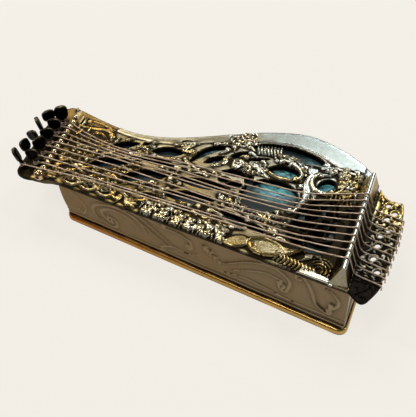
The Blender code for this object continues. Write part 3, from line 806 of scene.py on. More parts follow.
def abalone_shell():
    """Abalone: warped growth bands of turquoise, blue and green with dark lines, polished."""
    material, tree, shader, where = start_material("abalone_shell_polished", 0.0, IOR=1.5)
    shader.inputs["Specular IOR Level"].default_value = 0.25
    wide = add_node(tree, "ShaderNodeMapping",
                    {"Vector": where, "Scale": (0.55, 1.0, 1.0), "Rotation": (0.0, 0.0, 0.5)})
    wide = wide.outputs["Vector"]
    cloud = noise(tree, wide, 95.0, 5.0, 0.6, 1.2)
    bands = add_node(tree, "ShaderNodeTexWave",
                     {"Vector": wide, "Scale": 32.0, "Distortion": 9.0, "Detail": 3.0,
                      "Detail Scale": 1.6, "Detail Roughness": 0.6},
                     wave_type="BANDS", bands_direction="Y").outputs["Fac"]
    fine = noise(tree, wide, 620.0, 4.0, 0.6, 1.5)
    hue = sums(tree, "ADD", sums(tree, "MULTIPLY", cloud, 0.7),
               sums(tree, "MULTIPLY", bands, 0.35))
    pearl = ramp(tree, hue, [
        (0.0, (0.030, 0.090, 0.120)), (0.30, (0.08, 0.30, 0.38)), (0.44, (0.15, 0.62, 0.68)),
        (0.55, (0.36, 0.86, 0.86)), (0.66, (0.18, 0.44, 0.64)), (0.78, (0.45, 0.46, 0.66)),
        (1.0, (0.60, 0.66, 0.58))])
    # painted sheen and shade: the shell shows its colours only round the bright places, and fades
    # to near black away from them, as the shade of the deep openings
    lustre_and_painted_sheen = None
    for centre, reach, most in SHELL_LUSTRE_AND_PAINTED_SHEEN:
        away = add_node(tree, "ShaderNodeVectorMath",
                        {0: where, 1: tuple(world((*centre, SHELL_TOP)))}, operation="DISTANCE")
        spot = spread(tree, away.outputs["Value"], reach * 0.35 * MM, reach * MM, most, 0.0)
        lustre_and_painted_sheen = spot if lustre_and_painted_sheen is None else sums(tree, "MAXIMUM", lustre_and_painted_sheen, spot)
    lines = spread(tree, fine, 0.36, 0.52)
    strength = sums(tree, "MULTIPLY", lines, sums(tree, "MAXIMUM", lustre_and_painted_sheen, 0.03))
    colour = mixed(tree, strength, (0.010, 0.015, 0.016), pearl)
    finish_surface(tree, shader, colour, spread(tree, fine, 0.3, 0.7, 0.30, 0.45), fine, 0.1,
                 0.00006)
    return material


def plain_bronze():
    """Bronze of the hidden parts: cloudy patina with brushed grain."""
    material, tree, shader, where = start_material("aged_bronze_plate")
    stretched = add_node(tree, "ShaderNodeMapping",
                         {"Vector": where, "Scale": (0.12, 1.0, 1.0)}).outputs["Vector"]
    cloud = noise(tree, where, 120.0, 6.0, 0.6)
    brushed = noise(tree, stretched, 3000.0, 2.0, 0.5)
    colour = ramp(tree, spread(tree, cloud, 0.3, 0.7), [
        (0.0, (0.035, 0.026, 0.015)), (0.5, (0.10, 0.075, 0.042)), (1.0, (0.19, 0.145, 0.085))])
    finish_surface(tree, shader, colour, spread(tree, brushed, 0.3, 0.7, 0.36, 0.52), brushed,
                 0.25, 0.00005)
    return material


peg_steel, copper, abalone, bronze = peg_metal(), copper_wire(), abalone_shell(), plain_bronze()
for node, material in (("shell_plaque", abalone), ("base_plate", bronze), ("head_block", bronze)):
    frame["nodes"][node].data.materials.clear()
    frame["nodes"][node].data.materials.append(material)


# ---------------------------------------------------------------- nut, pegs and strings
nut_axis = np.array(NUT_BACK) - np.array(NUT_FRONT)
bead_step = np.linalg.norm(nut_axis) / (NUT_BEADS - 1)
nut_run = nut_axis / np.linalg.norm(nut_axis)
nut_height = TAIL_LOW + KNOB_RADIUS
bridge_run = np.array(BRIDGE_BACK) - np.array(BRIDGE_FRONT)
bridge_length = np.linalg.norm(bridge_run)
bridge_run = bridge_run / bridge_length
bridge_side = np.array((bridge_run[1], -bridge_run[0]))
tail_line = smooth(TAIL_EDGE, 2)


def tail_edge(y):
    """X of the tail plate's outer edge at a Y."""
    return max(a[0] + (b[0] - a[0]) * (y - a[1]) / (b[1] - a[1])
               for a, b in zip(tail_line, tail_line[1:])
               if min(a[1], b[1]) <= y <= max(a[1], b[1]) and a[1] != b[1])


def string_y(share):
    """Y on the bridge at a share of the way from the first string to the last."""
    return STRING_AT_BRIDGE[0] + (STRING_AT_BRIDGE[1] - STRING_AT_BRIDGE[0]) * share


def past_bridge(x, y):
    """Distance from the bridge's middle line towards the tail."""
    return (x - BRIDGE_FRONT[0]) * bridge_side[0] + (y - BRIDGE_FRONT[1]) * bridge_side[1]


def peg_stand(number):
    """Nut neck, foot on the top plate and axis of a peg, counted from the front."""
    neck = np.array(NUT_FRONT) + nut_run * bead_step * (number + 0.5)
    foot = np.array((neck[0] - PEG_ROWS[number % 2], neck[1] + 0.1, PLATE_TOP))
    tilt = math.radians(PEGS[number][1])
    return neck, foot, np.array((-math.sin(tilt), 0.0, math.cos(tilt)))


def peg_slot(number):
    """Oval hole for a leaning shank in the top plate."""
    foot, axis = peg_stand(number)[1:]
    half_shift = (PLATE_TOP - PLATE_LOW) / 2 * axis[0] / axis[2]
    return oval((foot[0] - half_shift, foot[1]), PEG_BORE / axis[2] - half_shift + 0.05,
                PEG_BORE + 0.05, 0.0, 20)


# Sections of a peg: height, half width, half thickness and wear. The shank:
SHANK_SECTIONS = [(-PEG_DEPTH, 0.30, 0.30, 0.3), (-PEG_DEPTH + 0.12, 0.52, 0.52, 0.5),
                  (-PEG_DEPTH + 0.3, PEG_RADIUS, PEG_RADIUS, 0.5),
                  (0.2, PEG_RADIUS, PEG_RADIUS, 0.4), (2.3, PEG_RADIUS, PEG_RADIUS, 0.6),
                  (2.42, 0.74, 0.72, 0.8), (2.52, 0.85, 0.8, 1.0), (2.64, 0.84, 0.74, 0.8),
                  (2.74, 0.78, 0.62, 0.35), (2.86, 0.86, 0.55, 0.2)]
# The head: share of its length and of its full width
HEAD_OUTLINE = [(0.05, 0.60), (0.12, 0.78), (0.22, 0.90), (0.34, 0.97), (0.5, 1.0), (0.64, 1.0),
                (0.76, 0.97), (0.85, 0.90), (0.915, 0.79), (0.955, 0.66), (0.985, 0.48)]
PEG_SIDES = 28


def build_peg(number):
    length, _, turn = PEGS[number]
    foot, axis = peg_stand(number)[1:]
    full_half, full_thick = PEG_HEAD_HALF * PEG_FULL, PEG_HEAD_THICK * PEG_FULL
    sections = list(SHANK_SECTIONS)
    for share, wide in HEAD_OUTLINE:
        thinner = 0.97 if share < 0.9 else 0.85
        sections.append((PEG_HEAD_FOOT + (length - PEG_HEAD_FOOT) * share, full_half * wide,
                         full_thick * (0.80 + 0.20 * wide) * thinner,
                         0.10 + 0.75 * max(0.0, share - 0.74) / 0.26))
    sections.append((length - 0.01, PEG_HEAD_HALF * 0.28, PEG_HEAD_THICK * 0.45, 1.0))
    turned = Vector(axis).to_track_quat("Z", "X") @ Vector((1.0, 0.0, 0.0)).rotation_difference(
        Vector((*way(math.radians(turn)), 0.0)))
    basis = np.array(turned.to_matrix())
    a = circle(PEG_SIDES)
    c, s = np.cos(a), np.sin(a)
    rings, worn = [], []
    for up, wide, thick, wear_and_shade in sections:
        headed = up > PEG_HEAD_FOOT
        if headed:      # a flat lens with squarer edges, hollowed along its middle
            u = wide * np.sign(c) * np.abs(c) ** 0.80
            v = thick * np.sign(s) * np.abs(s) ** 0.62
            v *= 1 - 0.22 * np.exp(-(u / (wide * 0.5)) ** 2) * (wide > 1.4)
        else:
            u, v = wide * c, thick * s
        local = np.stack([u, v, np.full(PEG_SIDES, up)], 1)
        rings.append(foot + local @ basis.T)
        worn.append(clip01(wear_and_shade + 0.75 * np.abs(c) ** 10 * headed))
    name = f"peg_{number + 1:02d}_paddle"
    peg = ring_mesh(name, rings, peg_steel, {"worn": np.concatenate(worn)}, 60)
    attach(peg, f"peg_{number + 1:02d}_body")
    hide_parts(f"peg_{number + 1:02d}")


def rounded(points, share=0.28):
    """Line with each corner cut back and bent through a short curve."""
    result = [points[0]]
    for a, b, c in zip(points, points[1:], points[2:]):
        first, last = b + (a - b) * share, b + (c - b) * share
        for t in (0.0, 0.33, 0.67, 1.0):
            result.append((1 - t) ** 2 * first + 2 * t * (1 - t) * b + t * t * last)
    result.append(points[-1])
    return np.array(result)


def build_wires(number):
    """Winding on the peg, which turns with it, and the string from peg to tail."""
    neck, foot, axis = peg_stand(number)
    coil_radius = PEG_RADIUS + WIRE_CLEAR
    coil_low = WIRE_CLEAR - (coil_radius + STRING_RADIUS) * axis[0]
    leave_up = coil_low + COIL_TURNS * COIL_PITCH + 2 * STRING_RADIUS + WIRE_GAP - 0.65 * axis[0]
    neck_top = np.array((*neck, nut_height + NECK_RADIUS + WIRE_CLEAR))
    leave_at = foot + axis * leave_up
    onward = neck_top - leave_at
    onward -= axis * (onward @ axis)
    onward /= np.linalg.norm(onward)
    side = np.cross(onward, axis)
    side /= np.linalg.norm(side)
    t = np.linspace(0, 1, 56)[:, None]
    a = 2 * math.pi * COIL_TURNS * (t - 1)
    coil = (foot + axis * (coil_low + COIL_PITCH * COIL_TURNS * t)
            + (side * np.cos(a) + onward * np.sin(a)) * coil_radius)
    winding = tube(f"coil_wire_{number + 1:02d}", coil, WIRE_SHOWN, 10, copper)
    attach(winding, f"peg_{number + 1:02d}_body")
    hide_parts(f"string_coil_{number + 1:02d}")

    ridge_y = string_y(number / (len(PEGS) - 1))
    ridge = np.array(BRIDGE_FRONT) + bridge_run * (ridge_y - BRIDGE_FRONT[1]) / bridge_run[1]
    points = [leave_at + side * coil_radius, neck_top]
    for (part_way, height), wander in zip(STRING_HEIGHTS, STRING_WANDER[number]):
        points.append((*(neck + (ridge - neck) * part_way + (0.0, wander)), height))
    crossing = [(BRIDGE_LEAN - 1.0, BRIDGE_HEIGHT - 0.1),
                (BRIDGE_LEAN - 0.35, BRIDGE_HEIGHT + 0.2),
                (BRIDGE_LEAN + 0.1, BRIDGE_HEIGHT + WIRE_CLEAR + 0.05),
                (BRIDGE_LEAN + 0.75, BRIDGE_HEIGHT - 0.05),
                (BRIDGE_LEAN + 1.05, BRIDGE_HEIGHT - 0.8),
                (BRIDGE_HALF + 0.35, TAIL_TOP - TAIL_LOW + WIRE_CLEAR + 0.25)]
    for across, up in crossing:
        points.append((*(ridge + bridge_side * across), TAIL_LOW + up))
    edge_x = tail_edge(ridge[1])
    for x, z in ((edge_x - 0.3, TAIL_TOP + WIRE_CLEAR),
                 (edge_x + WIRE_CLEAR + 0.05, TAIL_TOP + 0.05),
                 (edge_x + WIRE_CLEAR + 0.15, TAIL_TOP - 1.5)):
        points.append((x, ridge[1], z))
    # smooth over the plate, then sharp bends over the bridge and round the tail's edge
    points = np.array(points, float)
    bends = 2 + len(STRING_HEIGHTS)
    path = np.vstack([points[:1], smooth(points[1:bends + 1], 7), rounded(points[bends:])[1:]])
    wire = tube(f"string_wire_{number + 1:02d}", path, WIRE_SHOWN, 10, copper)
    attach(wire, "box")
    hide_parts(f"string_{number + 1:02d}")


NUT_SIDES = 28


def build_nut():
    """Turned rod of beads with a larger knob in front."""
    profile = []
    for bead in range(NUT_BEADS):
        radius = KNOB_SHOWN if bead == 0 else BEAD_RADIUS
        start = bead * bead_step - (0.75 if bead == 0 else 0.0)
        low, high = (-84 if bead == 0 else -62), (84 if bead == NUT_BEADS - 1 else 62)
        for angle in np.linspace(low, high, 13):
            profile.append((start + radius * math.sin(math.radians(angle)),
                            radius * math.cos(math.radians(angle)), 1.0))
        if bead < NUT_BEADS - 1:
            for shift in (-0.14, 0.0, 0.14):
                profile.append(((bead + 0.5) * bead_step + shift, NECK_RADIUS, 0.0))
    a = circle(NUT_SIDES)
    rings, worn, tone = [], [], []
    for along, radius, wear_and_shade in sorted(profile):
        centre = np.array(NUT_FRONT) + nut_run * along
        rings.append(np.stack([centre[0] + nut_run[1] * radius * np.cos(a),
                               centre[1] - nut_run[0] * radius * np.cos(a),
                               nut_height + radius * np.sin(a)], 1))
        worn.append(np.full(NUT_SIDES, wear_and_shade * clip01((radius - 0.55) / 0.45)))
        tone.append(np.full(NUT_SIDES, 0.35 if along < 1.4 else 0.55))
    nut = ring_mesh("nut_beaded_rod", rings, nut_metal,
                    {"worn": np.concatenate(worn), "tone": np.concatenate(tone)})
    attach(nut, "box")
    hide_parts("nut_rail")


CREST_RADIUS = 0.72
FLANK_LOW, FLANK_HIGH = 0.85, BRIDGE_HEIGHT - 0.75
BRIDGE_END = 0.22         # the ends are rounded over this length


def bridge_profile():
    """Cross section of the bridge: flat flange, two flanks and a rounded crest."""
    profile = [(-BRIDGE_HALF, 0.0)]
    profile += [(x, 0.0) for x in np.linspace(-2.2, 2.2, 5)]
    profile += [(BRIDGE_HALF, 0.0), (BRIDGE_HALF, 0.4), (BRIDGE_HALF - 0.12, 0.78)]
    rise = np.linspace(0, 1, 14)[1:]
    foot, crest = BRIDGE_HALF - 0.2, CREST_RADIUS + 0.02
    height = FLANK_LOW + (FLANK_HIGH - FLANK_LOW) * rise ** 0.94
    profile += list(zip(foot + (BRIDGE_LEAN + crest - foot) * rise, height))
    for angle in np.radians(np.linspace(12, 168, 9)):
        profile.append((BRIDGE_LEAN + CREST_RADIUS * math.cos(angle),
                        BRIDGE_HEIGHT - CREST_RADIUS + CREST_RADIUS * math.sin(angle)))
    profile += list(zip(-foot + (BRIDGE_LEAN - crest + foot) * rise, height))[::-1]
    return profile + [(-BRIDGE_HALF + 0.12, 0.78), (-BRIDGE_HALF, 0.4)]


def build_bridge():
    """Cast ridge: flat ends, a rounded crest notched by the strings, small flutes on its faces."""
    notches = [(string_y(k / (len(PEGS) - 1)) - BRIDGE_FRONT[1]) / bridge_run[1]
               for k in range(len(PEGS))]
    profile = bridge_profile()
    wobble = np.random.default_rng(5).uniform(-0.05, 0.05, (12,))
    stations = np.concatenate([[0.0, 0.08, 0.22], np.arange(0.45, bridge_length - 0.3, 0.17),
                               [bridge_length - 0.22, bridge_length - 0.08, bridge_length]])
    rings, worn, tone = [], [], []
    for d in stations:
        end = min(d, bridge_length - d)
        shrink = 0.10 * (1 - math.sqrt(max(0.0, 1 - (1 - min(end / BRIDGE_END, 1)) ** 2)))
        notch = max(math.exp(-((d - n) / 0.24) ** 2) for n in notches)
        fringe = 0.5 + 0.5 * math.cos(2 * math.pi * d / 1.25 + wobble[int(d) % 12] * 8)
        strung = notches[0] - 2.2 < d < notches[-1] + 1.2
        ring, wear_and_shade, hue = [], [], []
        for across, up in profile:
            flank = 0.9 < up < BRIDGE_HEIGHT - 0.9
            inward = -0.13 * flank * fringe * math.sin(math.pi * (up - 0.8) / 5.4)
            x = across + math.copysign(1, across - BRIDGE_LEAN) * inward
            z = up - 0.20 * notch * (up > BRIDGE_HEIGHT - 0.6)
            x -= shrink * (across - BRIDGE_LEAN) / BRIDGE_HALF * 2
            inset = (0.06 * up if d < bridge_length / 2 else -0.35 * up) * \
                max(0.0, 1 - end / (bridge_length / 2))
            at = np.array(BRIDGE_FRONT) + bridge_side * x + bridge_run * (d + inset)
            ring.append((at[0], at[1], TAIL_LOW + z))
            crest = max(0.0, (up - BRIDGE_HEIGHT + 1.5) / 1.5)
            # painted shade of the strings: the flanks are darker where the strings run over them
            face = (0.16 if strung else 0.62) if d > 0.1 else 0.7
            if up < 0.9 and end > 0.3:      # the flange lies in the shade of the ridge
                face = 0.0
            # the crest is rubbed bright with a painted highlight, and darkened at the notches as
            # painted string shade
            wear_and_shade.append(min(1.0, face + 0.85 * crest * (1 - 0.9 * notch) + 0.10 * (1 - fringe)))
            hue.append(0.15 if up < BRIDGE_HEIGHT - 0.8 else 0.85)
        rings.append(np.array(ring))
        worn.append(wear_and_shade)
        tone.append(hue)
    tone[0] = tone[1] = [0.62] * len(profile)
    worn[0] = worn[1] = [0.52] * len(profile)
    bridge = ring_mesh("bridge_cast_ridge", rings, bridge_metal,
                       {"worn": np.concatenate(worn), "tone": np.concatenate(tone)}, 50)
    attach(bridge, "box")
    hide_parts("bridge")


# ---------------------------------------------------------------- pierced top plate
def in_ovals(where, zones):
    return any(math.hypot((where[0] - x) / a, (where[1] - y) / b) < 1 for x, y, a, b in zones)


def flowing_ground(relief, area, pitch, free, rng, quiet=(), size=1.0, rise=0.75):
    """Seeded scrolls, leaves and beads that fill the ground between the large motifs."""
    ground = relief.height.copy()
    limit = np.array(relief.x.shape) - 1
    for gx in np.arange(area[0], area[1], pitch):
        for gy in np.arange(area[2], area[3], pitch):
            at = np.array((gx + rng.uniform(-0.3, 0.3) * pitch,
                           gy + rng.uniform(-0.3, 0.3) * pitch))
            turn, kind, big = rng.uniform(0, 360), rng.random(), size * rng.uniform(0.8, 1.25)
            i, j = (int(v) for v in np.clip((at - relief.low) / relief.step, 0, limit))
            if not free[i, j] or ground[i, j] > 0.45 or in_ovals(at, quiet):
                continue
            tone = float(clip01(relief.tone[i, j] + rng.uniform(-0.14, 0.18)))
            d = way(math.radians(turn))
            n = leftward(d)
            if kind < 0.5:
                relief.scroll([at - d * 1.5 * big - n * 0.5 * big, at - d * 0.2 * big,
                               at + d * 1.3 * big + n * 0.5 * big],
                              [0.25, 0.55 * big, 0.4], [rise], (None, (0.62 * big, 0.8, 1)),
                              tone=tone, outline=0.12)
            elif kind < 0.85:
                relief.leaf([at - d * 1.3 * big, at + n * 0.35 * big, at + d * 1.3 * big],
                            1.3 * big, 3, rise * 0.95, tone=tone, outline=0.12)
            else:
                relief.stroke(smooth([at - d * big, at + n * 0.5 * big, at + d * big], 5),
                              [0.3, 0.7 * big, 0.3], [rise], "ridge", tone=tone)


def raise_back_edge(top):
    """Leaves that cross the band, and the small fans along its foot."""
    top.leaf([(38.6, 44.2), (41.6, 48.0), (43.8, 51.0), (44.6, 54.6)], 4.0, 6, 0.75, tone=0.6)
    top.leaf([(43.0, 46.4), (46.0, 49.6), (48.0, 53.4)], 2.8, 5, 0.65, tone=0.6)
    top.fan((29.4, 36.4), 150, 150, 7, 3.2, 0.7, tone=0.5)
    top.scroll([(25.0, 36.2), (27.2, 38.6), (30.4, 40.0)], [0.35, 0.6, 0.35], [0.8],
               ((1.1, 1.1, -1), (1.2, 1.1, 1)), tone=0.5)
    top.scroll([(17.4, 33.8), (19.4, 35.8), (22.8, 36.6)], [0.3, 0.5, 0.3], [0.7],
               ((0.9, 1.0, -1), (0.9, 1.0, 1)), tone=0.4)


def raise_comb(top):
    """Acanthus comb over the long opening, its feathered stem and the bright web at its end."""
    top.stroke([(51.6, 46.6), (58.4, 48.8)], [2.2], [0.1], "soft", bridge=True)
    for k in range(8):
        foot = (52.2 + 1.08 * k, 44.9 + 0.33 * k)
        tip = (50.2 + 1.12 * k, 49.2 + 0.36 * k)
        top.stroke(smooth([foot, (foot[0] - 1.3, foot[1] + 2.2), tip], 4), [0.34, 0.46, 0.3],
                   [1.0, 1.3, 0.8], bridge=True, tone=0.85, outline=0.3)
    top.leaf([(58.6, 46.8), (62.0, 47.4), (65.6, 46.6), (69.0, 44.0), (70.8, 41.0)], 2.3, 9, 1.1,
             bridge=True, tone=0.62, outline=0.25)
    top.stroke(smooth([(66.4, 45.4), (69.0, 46.8), (72.0, 47.8), (75.6, 48.0)], 6), [0.9, 1.5],
               [0.7], "soft", bridge=True, tone=0.95)
    top.scroll([(61.0, 45.0), (64.4, 45.2), (67.6, 43.4), (69.6, 40.8), (69.6, 38.2)],
               [0.55, 0.78, 0.6], [1.2], ((0.8, 1.0, 1), (0.95, 1.1, -1)),
               bridge=True, tone=0.66, outline=0.35)
    top.stroke(smooth([(70.8, 47.0), (72.4, 43.6), (72.2, 40.0), (72.8, 37.0)], 6),
               [1.5, 1.3, 1.1], [0.7], "soft", tone=1.0)


def raise_windows(top):
    """Leaf cluster, web and scrolls round the three shell windows."""
    top.leaf([(49.6, 36.2), (52.6, 37.8), (55.6, 38.4), (58.0, 36.8)], 2.8, 6, 1.1, tone=0.7,
             outline=0.3)
    top.leaf([(50.8, 34.4), (53.6, 34.6), (57.0, 35.2)], 1.8, 4, 0.9, tone=0.65, outline=0.3)
    top.scroll([(47.0, 35.0), (46.6, 37.4), (48.4, 38.6)], [0.4, 0.6, 0.4], [0.9],
               ((0.9, 1.0, 1), (0.9, 1.0, -1)), tone=0.6)
    top.scroll([(43.0, 37.0), (45.6, 40.0), (49.0, 41.6)], [0.35, 0.6, 0.35], [0.9],
               ((0.9, 1.0, 1), (0.9, 1.0, -1)), tone=0.55)
    top.stroke(smooth([(58.6, 37.6), (62.0, 36.4), (66.0, 36.6), (70.4, 37.8)], 6), [0.6],
               [0.9], tone=0.34)
    top.scroll([(72.4, 35.6), (75.4, 32.0), (75.2, 27.0), (74.0, 22.6)], [0.4, 0.55, 0.4],
               [1.15], ((0.9, 1.0, 1), (1.0, 1.0, -1)), tone=0.9)
    top.scroll([(74.0, 43.6), (73.6, 39.8), (75.4, 36.6), (78.6, 35.2), (81.4, 35.8)],
               [0.6, 0.85, 0.5], [1.3], ((0.8, 0.9, -1), (0.9, 1.1, 1)), "double", tone=0.62)
    top.scroll([(83.4, 43.6), (84.0, 40.0), (82.6, 36.8)], [0.5, 0.7, 0.4], [1.0],
               ((0.8, 1.0, 1), None), tone=0.3)

    top.pool(smooth([(70.2, 46.4), (73.2, 46.6), (74.4, 44.4), (73.0, 41.6), (73.4, 38.2),
                     (75.6, 34.4), (75.8, 29.0), (74.6, 24.6), (73.4, 24.4), (73.8, 29.6),
                     (72.6, 34.2), (71.4, 37.6), (71.6, 41.6), (70.4, 44.0)], 4, closed=True),
             0.7, 0.92, 1.0)


def raise_roses(top):
    """Roses between the small window and the bridge, with a fringe below them."""
    for at, size, petals, tone, turn in (
            ((86.0, 43.4), 3.1, 6, 0.38, 10), ((82.4, 46.8), 2.5, 5, 0.60, 30),
            ((87.2, 48.4), 2.2, 5, 0.60, 0), ((86.2, 38.2), 2.5, 6, 0.24, 20),
            ((77.6, 47.6), 2.3, 5, 0.75, 0), ((82.0, 50.0), 1.5, 5, 0.5, 50),
            ((89.8, 46.2), 1.8, 5, 0.45, 20), ((89.6, 40.6), 1.8, 5, 0.3, 40),
            ((83.4, 41.2), 1.7, 5, 0.4, 15)):
        top.flower(at, size, petals, 1.35, turn, tone=tone)
    for k in range(7):
        foot = (80.4 + 1.4 * k, 37.4 - 0.4 * k)
        top.stroke(smooth([foot, (foot[0] + 0.5, foot[1] - 1.6), (foot[0] + 0.2, foot[1] - 3.2)],
                          4), [0.6, 0.45, 0.2], [1.0, 0.9, 0.5], "ridge", bridge=True,
                   tone=0.16, outline=0.25)


def raise_bead_rows(top):
    """Bead rows and small scrolls below the round window."""
    top.beads([(50.0, 19.6), (56.0, 17.8), (62.0, 17.2), (68.0, 17.6), (73.6, 19.6)], 0.55, 0.9,
              1.35, tone=0.75)
    top.beads([(52.0, 18.0), (58.0, 15.7), (64.0, 15.2), (70.0, 15.6), (74.0, 17.2)], 0.45, 0.8,
              1.2, tone=0.7)
    top.scroll([(51.0, 12.0), (55.0, 11.2), (60.0, 12.6), (65.0, 12.6)], [0.4, 0.7, 0.4],
               [0.8], ((0.9, 1.0, 1), (0.9, 1.0, -1)), tone=0.5)
    top.flower((71.6, 12.2), 1.7, 6, 0.95, 0, tone=0.6)


def raise_tracery(top):
    """Tracery that crosses the large opening near the bridge."""
    for path in ([(76.0, 27.0), (79.6, 29.4), (82.0, 33.0)], [(75.4, 20.4), (80.0, 21.0),
                 (84.6, 24.6), (88.6, 23.4)], [(79.4, 30.4), (82.6, 26.0), (83.0, 20.4),
                 (81.0, 15.4), (83.0, 10.0)], [(76.0, 15.6), (80.6, 15.8), (85.6, 14.4),
                 (89.4, 16.6)], [(84.0, 33.0), (86.0, 28.0), (86.4, 22.0), (86.8, 15.0)]):
        top.stroke(smooth(path, 8), [0.45, 0.62, 0.45], [0.25, 0.6, 0.25], bridge=True,
                   tone=0.5)
    for at in ((80.4, 18.4), (84.6, 19.4), (79.4, 25.4), (84.8, 29.0), (79.0, 12.8)):
        top.leaf([(at[0] - 1.4, at[1] - 0.9), at, (at[0] + 1.5, at[1] + 0.8)], 1.3, 3, 0.8,
                 bridge=True, tone=0.6)


def raise_front_right(top):
    """Gold strap and hollow leaf, ribbed feather and nested scrolls at the front right."""
    top.pool(smooth([(60.4, 0.6), (64.2, 0.2), (67.6, 2.4), (68.4, 4.8), (65.0, 6.2),
                     (62.0, 4.2)], 5, closed=True), 0.75, 0.62, 0.36)
    top.pool(smooth([(67.4, 3.6), (71.5, 1.8), (77.3, 3.4), (81.6, 6.6), (82.8, 8.2),
                     (78.4, 6.8), (74.8, 7.6), (71.0, 7.6), (67.8, 5.8)], 5, closed=True),
             0.45, 0.78, 0.42)
    top.stroke(smooth([(67.6, 5.4), (71.2, 7.6), (74.8, 7.5), (78.4, 6.7), (82.6, 8.3)], 8),
               [0.5, 0.65, 0.3], [1.3, 1.2, 0.5], tone=0.30, outline=0.3)
    top.scroll([(68.4, 2.9), (71.6, 1.5), (77.0, 2.9), (81.2, 5.9), (83.2, 8.2)],
               [0.5, 0.62, 0.35], [1.35], ((0.85, 0.8, -1), None), tone=0.20, outline=0.3)
    for k in range(11):
        foot = np.array((76.6 + 1.2 * k, 4.4 - 0.14 * k))
        top.stroke(smooth([foot, foot + (0.9, -1.3), foot + (0.4, -2.7)], 4),
                   [0.4, 0.52, 0.28], [1.1, 1.1, 0.6], tone=0.34, outline=0.3)
    for k, radius in enumerate((1.1, 2.2, 3.3, 4.4)):
        a = np.radians(np.linspace(155 - 8 * k, -30 + 6 * k, 16))
        top.stroke(np.stack([90.2 + radius * np.cos(a), 3.6 + radius * np.sin(a)], 1),
                   [0.35, 0.52, 0.35], [1.0], "ridge", tone=0.22 if k % 2 else 0.4,
                   outline=0.3)
    top.pool([(84.0, -0.3), (96.0, -0.3), (95.0, 1.9), (90.0, 2.2), (86.0, 1.7)], 0.8, 0.95, 0.72)


def raise_front_border(top, rng):
    """Lumpy acanthus border along the front."""
    for k in range(9):
        x0 = 32.0 + 3.1 * k
        size = 1.0 + 0.25 * rng.random()
        top.leaf([(x0 - 1.0, 5.6 + 0.6 * rng.random()), (x0 + 0.5, 3.0), (x0 + 2.3, 0.9)],
                 2.6 * size, 3, 1.2, tone=0.45 + 0.3 * rng.random(), lean=50)
        for lump in range(5):
            at = (x0 + 3.1 * rng.random(), 0.9 + 1.05 * lump + 0.7 * rng.random())
            top.stroke(smooth([at, (at[0] + 0.5, at[1] - 0.4), (at[0] + 0.9, at[1] + 0.1)], 3),
                       [0.75 + 0.5 * rng.random()], [1.15 + 0.4 * rng.random()],
                       tone=0.42 + 0.3 * rng.random())
    top.fan((35.4, 1.2), 112, 130, 6, 4.1, 1.1, 0.55, tone=0.5)
    top.fan((25.8, 1.2), 60, 110, 5, 3.4, 0.9, 0.5, tone=0.3)
    for at in ((4.4, 3.6), (10.8, 3.8), (17.4, 3.8)):
        top.scroll([(at[0] - 3.2, at[1] - 1.8), (at[0], at[1] - 2.4), (at[0] + 2.2, at[1] - 1.2)],
                   [0.35, 0.7, 0.45], [0.85], (None, (1.0, 0.9, 1)), tone=0.30)
        top.leaf([(at[0] - 3.2, at[1] - 0.4), (at[0], at[1] + 1.6), (at[0] + 3.4, at[1] + 2.4)],
                 2.4, 5, 1.0, tone=0.38)


def raise_head(top):
    """Upright scrolls on the plain gilt field of the head, and the tip at its corner."""
    top.scroll([(-19.2, 38.0), (-17.6, 35.6), (-17.2, 33.2)], [0.4, 0.65, 0.4], [1.0],
               (None, (0.8, 1.0, 1)), tone=0.5)
    for x0, y0, size in ((-14.2, 33.2, 1.1), (-12.0, 32.2, 1.0), (-7.6, 28.8, 1.2),
                         (-17.0, 36.0, 0.8)):
        top.stroke(smooth([(x0 - 0.9, y0 + 2.4 * size), (x0, y0), (x0 + 0.4, y0 - 2.2 * size)],
                          5), [0.3, 0.55, 0.3], [0.8], tone=0.42)
    top.scroll([(-12.4, 29.6), (-8.0, 30.2), (-3.0, 31.6), (1.0, 31.0)], [0.3, 0.6, 0.3], [0.6],
               ((1.1, 1.0, 1), (0.9, 1.0, -1)), tone=0.08)
    top.scroll([(-10.6, 34.2), (-6.0, 34.4), (-1.4, 33.8)], [0.22, 0.4, 0.22], [0.35],
               ((0.8, 0.9, 1), (0.8, 0.9, -1)), tone=0.05)


